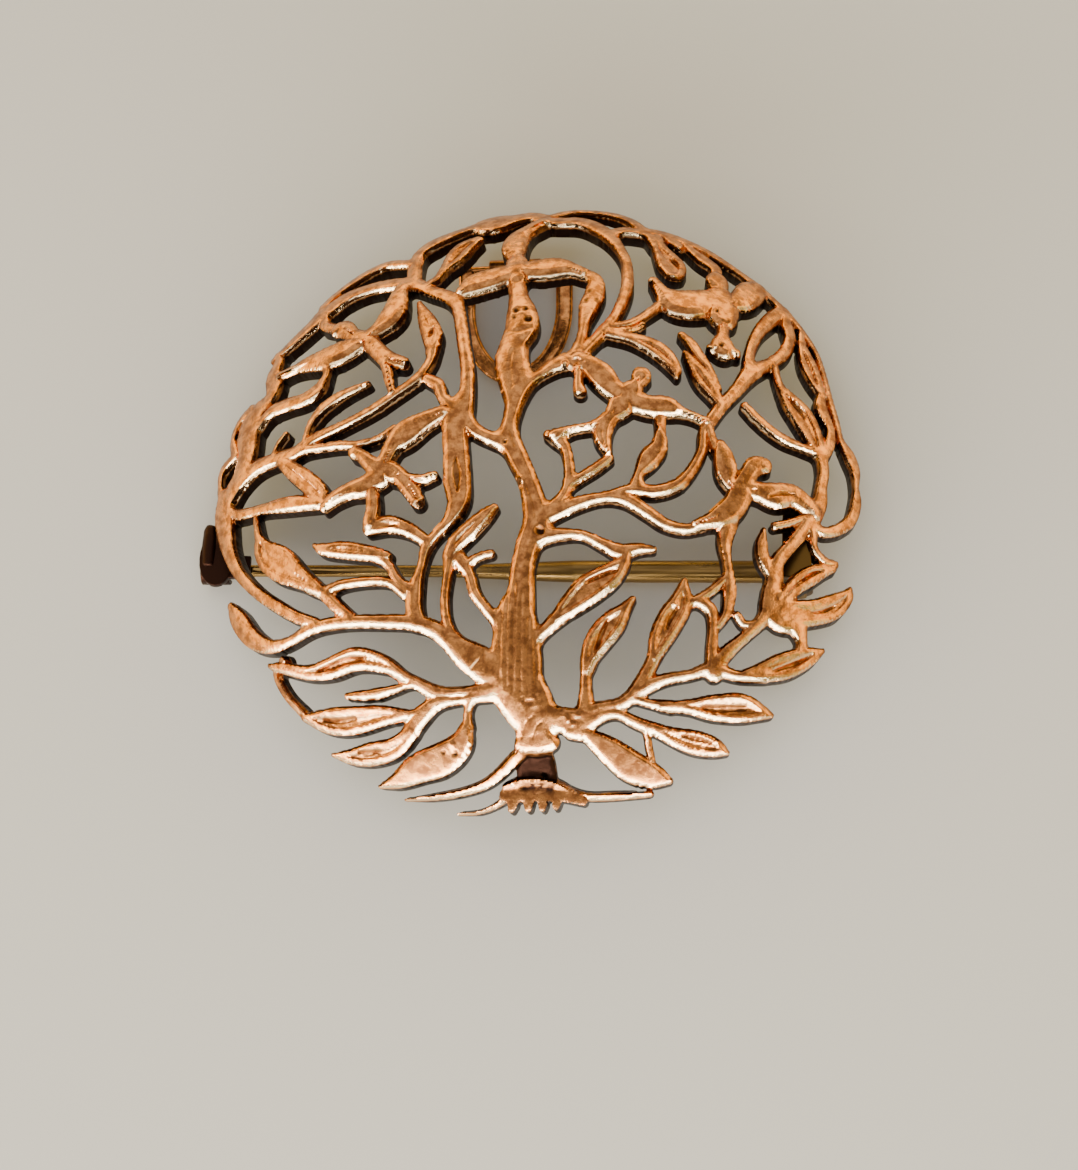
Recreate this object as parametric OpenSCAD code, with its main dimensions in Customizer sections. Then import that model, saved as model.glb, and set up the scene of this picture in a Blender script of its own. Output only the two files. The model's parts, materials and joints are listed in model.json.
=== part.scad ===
// Tree of life brooch: a domed, pierced casting with six doves, a hinged pin and a fold-down bail.
// The brooch lies dome up on the fittings of its back at Z = 0, and the trunk of the tree runs along Y.

/* [Dome] */
// Radius of the casting's outline, seen from above
dome_r = 20; // [19.8:0.1:20.2]
// Rise of the dome's skin from its rim to its crown
dome_rise = 8; // [7.8:0.1:8.2]
// Thickness of the cast wall
wall_t = 1.3; // [1.2:0.1:1.4]
// Height of the casting's back above the table
back_z = 1.6; // [1.6:0.1:1.8]
// Height of the rim's skin above the casting's back
rim_h = 1.3; // [1.2:0.1:1.4]
// How far the trunk and the doves stand proud of the boughs
relief_h = 0.45; // [0.3:0.05:0.6]
// How far the edge of that relief is set in from the wall
relief_inset = 0.15; // [0.12:0.01:0.2]
// Depth of the grooves along the leaves
groove_d = 0.6; // [0.4:0.1:0.8]

/* [Pin] */
// Height of the pin above the table, which its ears and catch touch
pin_z = 0.9; // [0.85:0.05:0.95]
// Distance of the pin from the brooch's middle, towards the roots
pin_y = 3.5; // [3.4:0.1:3.6]
// Turn of the pin away from level, in degrees
pin_turn = 2.2; // [2:0.1:2.4]
// Distance of the hinge from the brooch's middle
hinge_x = 16; // [15.9:0.1:16.1]
// Radius of the pin beside its hinge
pin_thick_r = 0.7; // [0.65:0.05:0.7]
// Radius of the pin's slim half
pin_slim_r = 0.38; // [0.35:0.01:0.4]

/* [Bail] */
// Distance from the brooch's middle to the bail's hinge
bail_y = 17.2; // [17:0.1:17.3]
// Height of the bail above the table, which its tube touches
bail_z = 0.65; // [0.6:0.05:0.7]
// Half of the bail's outer width
bail_half_w = 3.7; // [3.6:0.1:3.8]
// Width of the bail's band
bail_band_w = 1.1; // [1:0.1:1.2]
// Thickness of the bail's band
bail_band_t = 0.6; // [0.5:0.1:0.6]

/* [Hidden] */

skin_r = (dome_r * dome_r + dome_rise * dome_rise) / (2 * dome_rise);
skin_z = back_z + rim_h + dome_rise - skin_r;

// Width below which a limb isn't drawn any narrower, and the overlap that welds the limbs together
least_w = 0.1;
weld = 0.01;

// Clearance of a moving piece, and of a shaft in its bore
side_gap = 0.12;
bore_gap = 0.05;

// The hinge of the pin: a knuckle between two ears under a seat that bridges the boughs
knuckle_r = 0.8;
knuckle_w = 1.4;
ear_t = 0.55;
ear_w = 1.8;
rivet_r = 0.32;
rivet_head_r = 0.5;
rivet_head_t = 0.2;
seat_z = 3.9;
seat_t = 0.6;
seat_y = [-1.5, 2.9];

// The pin's stations along its length, from the hinge to its point
stem_thick_end = 2;
stem_slim_start = -6;
stem_slim_end = -18.5;
stem_point = -21;
stem_point_r = 0.08;

// The catch: a hook round the pin on a foot below the left rim
catch_x = [-21.6, -19.8];
catch_bore_r = 0.55;
catch_mouth_w = 0.9;
catch_foot_x = -18.4;
catch_foot_t = 0.5;
catch_lug_r = 0.5;
catch_lug_y = 2.4;

// The bail's length from its hinge and that of its rounded end, and the bar in its tube
bail_x = -1.75;
bail_len = 8;
bail_bend_len = 5.3;
bail_bar_r = 0.3;
bail_tube_w = 3.4;

// The strut that ties that tube to the dove above it
strut_x = [-1.9, -0.7];
strut_t = 0.7;
strut_top = 4.4;

// The pattern is charted on the skin of the dome, in mm from its crown. Each limb is a run of
// stations with three columns: how far across, how far up, and how wide the limb is there.
ACROSS = 0;
UP = 1;
WIDE = 2;

TRUNK = [
    [[0.2, -17.2, 2.6], [0.3, -16.0, 3.0], [-0.2, -14.8, 3.2], [-0.9, -13.2, 3.4], [-0.8, -11.5, 3.1],
     [-0.75, -10.0, 2.7], [-0.7, -9.0, 2.3], [-0.4, -8.0, 1.7], [-0.3, -7.0, 1.5], [-0.15, -6.0, 1.4],
     [0.2, -4.8, 1.5], [0.7, -3.6, 1.7], [0.5, -2.2, 1.4], [0.1, -0.8, 1.2], [-0.5, 0.6, 1.3],
     [-1.0, 1.9, 1.3], [-0.9, 3.0, 1.0], [-0.7, 4.2, 1.2], [-0.65, 5.6, 2.0], [-0.95, 7.2, 2.1],
     [-0.8, 8.6, 1.8], [-0.4, 9.8, 2.1], [-0.45, 11.0, 1.9], [-0.7, 12.3, 1.3], [-0.9, 13.6, 1.1]]];

// The twisted second stem left of the trunk, and the boughs that leave the trunk low down
LOW_BOUGHS = [
    [[-4.9, 13.0, 0.8], [-4.45, 11.0, 0.7], [-4.1, 9.0, 0.7], [-3.75, 7.0, 0.75], [-3.7, 5.2, 0.9],
     [-4.2, 3.7, 1.8], [-4.35, 2.4, 1.5], [-4.25, 0.8, 1.5], [-4.2, -0.6, 1.6], [-4.1, -2.0, 1.3],
     [-4.6, -3.1, 0.8], [-5.4, -3.9, 0.6], [-6.1, -4.6, 0.7], [-6.5, -5.8, 0.45], [-6.9, -7.0, 0.8],
     [-7.1, -8.2, 1.0], [-7.0, -9.2, 1.0]],
    [[-3.9, 3.6, 1.0], [-3.1, 2.5, 0.8], [-2.1, 1.9, 0.8], [-1.2, 1.6, 1.1]],
    [[-2.4, -12.4, 2.2], [-4.0, -11.4, 1.5], [-5.4, -10.0, 1.1], [-7.0, -9.25, 0.9], [-9.2, -8.95, 0.8],
     [-12.0, -8.7, 0.75], [-14.4, -8.8, 0.7], [-16.3, -9.4, 0.6], [-18.0, -9.5, 0.9], [-19.6, -8.7, 1.4],
     [-20.7, -7.4, 1.5], [-21.4, -6.3, 0.6]],
    [[-3.0, -11.3, 0.9], [-4.4, -10.5, 0.7], [-5.0, -9.4, 0.5], [-5.1, -8.0, 0.45], [-4.85, -6.5, 0.5],
     [-4.6, -5.2, 0.9]],
    [[-1.6, -9.7, 0.9], [-2.5, -8.7, 0.6], [-3.2, -7.7, 0.6], [-3.5, -6.6, 0.6], [-4.1, -5.6, 0.9]],
    [[-3.7, -6.0, 0.5], [-3.0, -5.55, 0.4], [-2.15, -5.35, 0.4]],
    [[-2.2, -13.6, 1.2], [-4.3, -13.65, 0.7], [-5.9, -13.6, 0.9], [-7.3, -12.85, 0.65], [-8.6, -12.2, 0.7]],
    [[-6.2, -13.6, 0.8], [-7.6, -13.0, 0.35], [-9.0, -13.2, 0.5], [-10.4, -13.4, 0.7], [-12.2, -13.35, 0.4]],
    [[-2.8, -13.9, 0.7], [-4.6, -14.1, 0.5], [-6.2, -14.25, 0.9], [-7.4, -15.2, 1.0], [-8.6, -16.5, 1.0]],
    [[-6.3, -14.3, 0.7], [-7.6, -14.75, 0.5], [-9.0, -14.9, 0.8]],
    [[-3.8, -14.0, 0.6], [-4.1, -14.9, 0.4], [-4.15, -15.8, 0.6]],
    [[-7.2, -7.3, 0.8], [-8.1, -6.5, 0.5], [-8.7, -5.5, 0.5], [-9.4, -4.9, 0.8]],
    [[-7.7, -7.4, 0.6], [-8.7, -6.6, 0.5], [-10.2, -6.35, 0.5], [-12.0, -6.35, 0.55], [-13.0, -6.6, 0.7]],
    [[-11.6, -8.4, 0.7], [-12.5, -7.6, 0.8], [-13.4, -6.7, 0.8], [-14.4, -6.1, 0.9]],
    [[0.1, -10.8, 0.9], [1.0, -10.1, 0.7], [2.0, -9.2, 0.9]],
    [[1.0, -15.4, 1.6], [2.6, -15.6, 1.5], [4.0, -15.0, 1.0], [5.6, -14.6, 0.8], [6.9, -13.7, 0.9],
     [8.4, -13.1, 0.7], [10.0, -12.8, 0.6], [11.4, -12.4, 0.8], [13.2, -12.8, 0.65], [15.0, -12.6, 1.0]],
    [[2.9, -16.2, 1.1], [4.2, -15.4, 0.8], [5.4, -15.25, 0.6], [6.6, -15.8, 0.7], [8.0, -16.3, 0.8]],
    [[2.4, -16.3, 0.9], [3.6, -16.6, 0.8], [4.4, -17.1, 1.2]],
    [[7.2, -16.2, 0.4], [7.3, -17.0, 0.35], [7.5, -18.2, 0.4]],
    [[6.4, -14.3, 0.5], [7.5, -14.6, 0.5], [8.8, -14.8, 0.8]],
    [[3.3, -15.2, 1.1], [3.4, -14.2, 0.8], [3.45, -13.0, 0.6], [3.6, -12.2, 0.9]],
    [[6.6, -13.8, 0.9], [7.3, -12.6, 0.8], [7.8, -11.6, 0.8]],
    [[11.6, -12.6, 1.2], [11.4, -11.2, 0.7], [11.45, -9.8, 0.6], [11.3, -8.8, 0.7], [10.5, -8.3, 0.6],
     [9.8, -8.4, 0.7]],
    [[10.4, -8.2, 0.5], [11.3, -7.6, 0.5], [12.3, -6.7, 0.5]],
    [[12.5, -3.0, 1.2], [12.2, -4.4, 0.9], [12.3, -5.6, 0.55], [12.45, -6.6, 0.6], [12.5, -7.7, 0.8],
     [12.3, -8.9, 0.6], [11.8, -9.7, 0.4]],
    [[13.0, -9.0, 0.4], [13.5, -9.55, 0.45], [14.3, -9.5, 0.5]],
    [[1.5, -3.1, 1.0], [3.0, -2.5, 0.8], [4.6, -2.1, 0.6], [6.0, -2.15, 0.75], [7.3, -2.9, 0.7],
     [8.4, -3.6, 0.65], [9.6, -3.85, 0.6], [10.8, -3.6, 0.6]],
    [[0.9, -4.4, 1.1], [2.0, -4.35, 0.7], [3.4, -4.4, 0.5], [4.7, -5.0, 0.65], [5.7, -5.4, 0.9],
     [6.8, -5.2, 0.6], [7.7, -5.2, 0.3]],
    [[1.4, -2.9, 0.8], [2.3, -2.0, 0.6], [2.65, -1.0, 0.6], [2.6, 0.2, 0.55], [2.4, 1.1, 0.6],
     [1.9, 1.7, 0.8], [1.4, 1.95, 0.5]],
    [[2.7, -1.2, 0.7], [3.4, -0.8, 0.55], [4.3, -0.2, 0.55], [5.05, 0.4, 0.5]]];

// The boughs of the crown, from the left rim over the top to the right rim
CROWN_BOUGHS = [
    [[-22.1, 1.9, 1.0], [-22.0, 0.6, 1.9], [-21.8, -0.9, 1.7], [-21.3, -2.6, 1.2], [-20.4, -4.2, 0.9],
     [-18.9, -5.7, 0.8], [-17.4, -6.8, 0.8], [-15.8, -7.8, 0.75], [-14.2, -8.5, 0.7]],
    [[-21.6, 0.4, 0.9], [-20.3, -0.05, 0.7], [-18.4, -0.2, 0.6], [-16.6, -0.35, 0.9], [-15.2, -0.5, 1.0],
     [-13.6, -0.9, 0.6]],
    [[-21.8, 1.2, 1.4], [-20.6, 2.4, 1.5], [-19.0, 3.0, 1.1], [-17.2, 3.1, 0.9], [-15.6, 3.1, 0.9],
     [-14.2, 3.7, 0.8], [-12.0, 4.2, 0.6], [-10.0, 4.85, 0.6], [-8.3, 5.75, 0.6], [-6.9, 6.7, 0.6],
     [-6.2, 7.8, 0.6], [-6.1, 9.0, 0.9]],
    [[-15.0, 3.2, 0.7], [-13.6, 3.0, 0.5], [-12.2, 2.85, 0.5], [-10.8, 2.6, 0.45], [-9.4, 2.75, 0.4],
     [-8.3, 3.3, 0.4]],
    [[-17.4, 3.4, 0.4], [-17.1, 4.1, 0.4], [-16.5, 4.7, 0.35]],
    [[-20.4, 2.8, 1.6], [-20.0, 4.3, 1.8], [-20.1, 5.8, 2.1], [-19.8, 7.2, 2.0], [-18.5, 8.2, 1.1],
     [-18.2, 9.2, 1.4], [-18.5, 10.3, 1.3], [-18.3, 11.5, 0.8], [-18.6, 12.2, 0.6]],
    [[-20.2, 8.0, 0.8], [-21.2, 7.4, 0.6], [-21.7, 6.2, 0.5], [-21.3, 4.8, 0.7]],
    [[-21.2, 4.6, 0.6], [-22.4, 3.9, 0.7], [-22.6, 2.8, 0.5], [-22.3, 1.6, 0.8]],
    [[-19.5, 6.1, 0.9], [-18.3, 7.05, 0.9], [-16.8, 7.15, 0.9], [-15.3, 7.1, 0.9], [-14.2, 7.5, 1.0],
     [-13.7, 8.4, 0.5], [-13.7, 9.2, 0.6]],
    [[-6.4, 6.6, 0.5], [-5.6, 6.0, 0.7], [-5.2, 5.0, 0.6], [-4.4, 4.2, 0.9]],
    [[-18.9, 11.9, 0.4], [-17.4, 12.8, 0.9], [-15.9, 13.9, 1.2], [-14.7, 15.0, 1.6], [-13.2, 15.7, 1.2],
     [-11.4, 15.85, 1.0], [-9.6, 15.6, 1.0], [-8.0, 15.1, 0.9], [-6.6, 14.0, 0.7], [-5.4, 13.2, 0.8],
     [-4.8, 12.4, 0.8]],
    [[-14.9, 14.4, 1.0], [-14.6, 13.4, 0.7], [-13.7, 12.7, 0.6]],
    [[-15.2, 15.6, 0.8], [-14.0, 16.8, 0.7], [-12.4, 17.8, 0.8], [-10.8, 18.3, 0.8], [-9.4, 17.9, 0.7],
     [-8.4, 17.6, 0.8]],
    [[-8.1, 15.2, 1.0], [-8.3, 17.0, 0.9], [-8.2, 18.6, 0.9], [-7.3, 19.7, 1.1], [-5.8, 20.5, 0.9],
     [-4.6, 21.0, 0.9], [-3.2, 21.2, 2.2], [-1.8, 21.6, 1.4], [-0.5, 21.9, 1.2], [0.5, 21.3, 1.2],
     [1.4, 20.9, 1.1], [2.8, 20.9, 1.2], [3.9, 20.3, 1.2], [4.9, 19.2, 1.1], [5.6, 17.8, 0.75],
     [6.1, 16.4, 0.65], [6.25, 15.0, 0.65], [6.2, 13.4, 0.7], [5.9, 12.0, 0.7], [5.4, 10.6, 0.65],
     [4.7, 9.5, 0.7], [4.0, 8.5, 0.6], [3.2, 7.6, 0.9]],
    [[1.0, 21.8, 0.6], [2.4, 22.45, 0.6], [3.8, 22.5, 0.6], [5.3, 22.2, 0.7], [6.5, 21.4, 0.8],
     [7.2, 20.4, 0.9]],
    [[5.1, 19.0, 0.8], [5.7, 19.8, 0.8], [6.7, 20.0, 0.9], [7.7, 19.7, 0.9], [8.2, 18.6, 0.9]],
    [[7.2, 20.2, 0.9], [8.8, 20.0, 0.9], [10.4, 19.4, 0.8], [12.0, 18.5, 0.7], [13.4, 17.4, 0.6],
     [14.5, 16.5, 0.6], [15.4, 15.7, 0.8], [16.3, 14.8, 0.6], [17.1, 13.9, 0.8]],
    [[8.9, 19.8, 0.8], [9.5, 19.2, 1.1], [9.8, 18.8, 0.9]],
    [[10.3, 19.2, 0.7], [10.8, 18.4, 0.9], [11.4, 17.6, 1.0], [12.2, 16.8, 0.9], [12.3, 15.9, 0.7]],
    [[3.0, 14.9, 0.8], [4.1, 14.1, 0.9], [4.15, 12.8, 1.2], [3.8, 11.5, 1.2], [3.55, 10.2, 0.7],
     [3.4, 9.0, 0.6], [3.1, 7.8, 0.8]],
    [[-0.4, 5.2, 1.0], [0.7, 6.0, 0.6], [1.8, 6.8, 0.9], [2.8, 7.2, 1.2], [3.5, 7.4, 1.0]],
    [[3.0, 7.0, 0.7], [3.2, 6.2, 0.5], [3.2, 5.4, 0.5], [3.3, 4.95, 0.7]],
    [[5.3, 9.9, 0.5], [6.5, 10.3, 0.5], [7.6, 11.3, 0.5], [8.5, 12.3, 0.6]],
    [[5.2, 9.5, 0.7], [6.4, 9.7, 0.4], [7.2, 10.2, 0.3]],
    [[9.7, 9.7, 0.4], [10.3, 9.0, 0.7], [10.8, 8.1, 0.7], [11.4, 7.2, 0.5], [11.9, 5.8, 0.5]],
    [[4.8, -2.05, 0.5], [6.4, -1.55, 0.65], [7.8, -1.6, 0.75], [9.2, -1.1, 0.7], [10.1, -0.1, 0.6],
     [10.8, 1.3, 0.6], [10.95, 2.6, 0.6], [11.5, 3.6, 0.7], [12.2, 4.7, 0.7], [13.2, 6.0, 0.75],
     [14.2, 7.5, 1.0], [15.6, 8.6, 0.7], [16.7, 9.8, 0.75], [17.25, 11.2, 0.8], [17.2, 12.4, 0.9],
     [17.3, 13.5, 0.8]],
    [[14.1, 7.4, 0.9], [14.2, 9.0, 0.65], [14.8, 10.8, 0.7], [15.7, 12.3, 0.9], [16.8, 13.7, 1.1]],
    [[11.2, 3.2, 0.5], [11.4, 2.2, 0.6], [11.7, 1.4, 0.6]],
    [[6.7, -1.3, 0.8], [6.9, -0.5, 0.6], [7.5, 0.5, 1.2], [8.1, 1.3, 1.0], [8.2, 2.3, 0.6], [8.2, 3.2, 0.6]],
    [[13.7, 4.8, 0.5], [14.4, 4.1, 0.6], [15.3, 3.4, 0.6], [16.3, 2.9, 0.6], [17.6, 2.6, 0.5],
     [18.8, 2.4, 0.8], [19.1, 1.3, 0.8], [18.9, 0.0, 0.8], [18.7, -1.2, 1.1], [18.1, -2.4, 1.1],
     [17.3, -3.4, 0.9], [16.4, -4.5, 0.8], [15.7, -5.4, 0.9], [15.5, -6.5, 1.1], [15.2, -7.8, 1.0],
     [14.9, -8.9, 0.9], [14.1, -9.8, 0.7], [13.2, -10.6, 0.7], [12.3, -11.4, 0.9], [11.7, -12.2, 0.9]],
    [[17.2, 13.9, 0.6], [18.3, 12.4, 0.5], [19.2, 10.7, 0.45], [19.6, 9.0, 0.45], [19.9, 7.0, 0.5],
     [20.3, 5.2, 0.5], [20.6, 3.8, 0.5], [21.2, 2.8, 0.9], [21.6, 1.8, 0.8], [21.6, 0.6, 0.5],
     [21.6, -0.5, 0.8], [21.2, -1.7, 0.8], [20.2, -2.6, 0.7], [19.0, -3.0, 0.6], [18.0, -2.6, 0.7]],
    [[19.3, 7.0, 0.6], [19.2, 5.8, 1.0], [19.8, 4.5, 0.8], [19.6, 3.2, 0.8], [19.0, 2.2, 0.8]],
    [[15.9, 8.6, 0.5], [16.1, 7.3, 0.5], [16.4, 6.5, 0.7]],
    [[18.2, -2.9, 0.7], [18.3, -4.2, 0.5], [19.0, -4.9, 0.5], [19.9, -5.1, 0.45]],
    [[17.7, -2.3, 0.6], [16.6, -2.75, 0.45], [15.5, -3.1, 0.4]],
    [[15.2, -7.4, 1.0], [15.9, -8.5, 2.4], [17.0, -9.2, 1.5], [17.5, -10.2, 0.8], [17.5, -11.0, 0.8]]];

// The roots and the strip of ground below them
ROOTS = [
    [[-0.6, -17.3, 1.0], [-1.6, -18.1, 0.8], [-2.8, -19.1, 0.75], [-4.4, -19.8, 0.7], [-6.4, -20.15, 0.6],
     [-9.0, -20.2, 0.3]],
    [[-1.6, -19.6, 0.8], [-3.2, -20.5, 0.5], [-4.6, -21.1, 0.45], [-6.0, -21.0, 0.3]],
    [[-1.8, -20.8, 0.8], [-3.2, -21.5, 0.7], [-5.0, -21.3, 0.4]],
    [[0.1, -17.4, 2.4], [0.0, -18.4, 2.4], [0.0, -19.6, 3.0]],
    [[-2.2, -20.2, 1.0], [-1.0, -20.0, 1.4], [0.6, -19.9, 1.4], [2.0, -20.4, 1.2], [3.6, -20.6, 0.8],
     [5.4, -20.5, 0.8], [7.2, -20.6, 0.4]],
    [[1.2, -18.6, 0.7], [1.7, -19.4, 0.6], [2.6, -20.1, 0.7]],
    [[-1.5, -20.2, 0.9], [-1.6, -20.9, 0.7], [-1.75, -21.5, 0.4]],
    [[-0.3, -20.2, 0.9], [-0.2, -20.9, 0.8], [-0.15, -21.4, 0.6]],
    [[0.9, -20.2, 0.9], [1.1, -20.9, 0.8], [1.2, -21.4, 0.5]],
    [[-16.9, -10.6, 0.8], [-17.7, -11.4, 0.6], [-17.1, -12.8, 0.6], [-15.9, -14.1, 0.7]]];

// The leaves, each a run of stations from its stalk to its tip
LEAVES = [
    [[-8.2, -12.3, 0.6], [-9.6, -11.5, 1.2], [-11.4, -11.1, 1.5], [-13.3, -11.5, 1.4], [-15.0, -11.6, 1.0],
     [-17.0, -11.1, 0.8], [-18.2, -10.8, 0.4]],
    [[-8.2, -14.8, 0.7], [-10.0, -14.8, 1.4], [-12.2, -14.95, 1.9], [-14.0, -14.85, 1.7],
     [-15.8, -14.5, 0.6]],
    [[-8.0, -16.0, 0.9], [-9.4, -16.9, 1.4], [-11.0, -17.2, 1.6], [-12.6, -17.3, 1.1], [-14.0, -17.1, 0.3]],
    [[-4.2, -15.6, 0.5], [-4.8, -16.9, 1.5], [-6.2, -17.8, 2.1], [-7.8, -18.3, 1.9], [-9.3, -19.0, 1.1],
     [-10.7, -19.4, 0.3]],
    [[-8.8, -5.0, 0.7], [-10.2, -4.6, 1.0], [-11.8, -4.2, 1.1], [-13.2, -3.95, 0.8], [-13.9, -3.6, 0.3]],
    [[-13.6, -6.5, 0.8], [-15.2, -5.4, 1.5], [-16.7, -4.3, 2.3], [-17.9, -3.4, 1.8], [-18.5, -2.2, 0.7],
     [-18.8, -0.8, 0.4]],
    [[-6.2, -4.3, 0.7], [-7.3, -3.5, 0.9], [-8.6, -3.0, 1.1], [-9.9, -3.1, 0.9]],
    [[-16.8, 2.9, 0.7], [-15.9, 2.0, 1.1], [-14.6, 0.9, 1.3], [-13.5, -0.2, 1.2], [-13.0, -1.2, 0.4]],
    [[-14.8, 3.9, 0.5], [-14.4, 5.0, 0.6], [-13.5, 5.9, 0.8], [-12.2, 6.5, 0.7], [-10.4, 6.95, 0.3]],
    [[-6.1, 8.6, 0.7], [-6.2, 9.8, 1.3], [-6.6, 11.0, 1.2], [-7.1, 12.2, 0.7], [-7.4, 13.0, 0.3]],
    [[-7.1, 14.6, 0.7], [-6.4, 15.2, 0.6], [-5.9, 16.2, 0.9], [-5.3, 17.4, 1.6], [-4.8, 18.4, 1.5],
     [-4.1, 19.1, 0.8]],
    [[-4.7, -5.4, 0.8], [-4.2, -4.6, 1.1], [-3.3, -3.8, 1.1], [-2.5, -3.1, 0.9], [-1.9, -2.6, 0.5]],
    [[1.8, -9.4, 0.8], [2.9, -8.4, 1.5], [3.9, -7.6, 1.8], [5.0, -6.9, 1.5], [5.8, -6.2, 0.9],
     [6.1, -5.5, 0.5]],
    [[3.5, -12.6, 0.7], [3.8, -11.6, 1.2], [4.4, -10.6, 1.6], [5.2, -9.7, 1.5], [5.9, -8.9, 0.8],
     [6.4, -8.3, 0.4]],
    [[7.7, -11.8, 0.8], [8.2, -10.5, 1.5], [8.8, -9.4, 1.7], [9.4, -8.4, 1.4], [9.6, -7.1, 0.4]],
    [[8.2, -14.8, 0.6], [10.0, -14.8, 1.0], [11.6, -14.85, 1.7], [13.4, -14.85, 1.9], [14.8, -15.1, 1.0],
     [15.6, -15.3, 0.3]],
    [[13.4, -12.8, 0.7], [14.8, -12.5, 1.3], [16.4, -12.0, 1.8], [17.9, -11.4, 1.4], [19.1, -10.9, 0.4]],
    [[7.4, -16.1, 0.6], [9.0, -16.7, 1.2], [10.4, -17.1, 1.6], [11.6, -17.4, 1.3], [12.6, -17.8, 0.3]],
    [[3.4, -16.5, 0.8], [4.8, -17.5, 1.6], [6.2, -18.6, 2.0], [7.5, -19.2, 1.6], [8.7, -19.6, 0.4]],
    [[8.3, 19.4, 0.8], [8.4, 18.2, 1.0], [8.8, 17.0, 1.6], [9.1, 16.1, 1.8], [9.2, 15.5, 1.3]],
    [[5.0, 9.3, 0.7], [6.4, 9.0, 0.8], [7.7, 8.5, 1.2], [8.6, 7.8, 1.2], [9.2, 6.9, 0.8], [9.3, 6.4, 0.3]],
    [[9.9, 8.2, 0.4], [10.4, 7.3, 0.9], [11.0, 6.3, 1.3], [11.6, 5.4, 1.0], [12.0, 4.6, 0.6]],
    [[16.3, 6.7, 0.6], [16.9, 5.8, 1.4], [17.6, 5.0, 1.8], [18.2, 4.0, 1.7], [18.7, 2.9, 1.2]],
    [[18.2, 12.1, 0.4], [18.2, 10.8, 0.8], [18.5, 9.3, 1.4], [18.9, 8.1, 1.2], [19.4, 7.0, 0.6]],
    [[16.0, -7.9, 1.0], [17.0, -6.8, 1.2], [18.0, -6.1, 1.3], [19.0, -5.6, 0.9], [19.8, -5.4, 0.4]],
    [[16.6, -8.7, 1.8], [18.4, -8.4, 1.7], [19.8, -7.9, 1.7], [20.8, -7.2, 1.1], [21.1, -6.6, 0.4]],
    [[15.3, -6.3, 0.8], [14.7, -5.3, 0.9], [14.6, -4.4, 0.8], [14.75, -3.5, 0.3]]];

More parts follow.
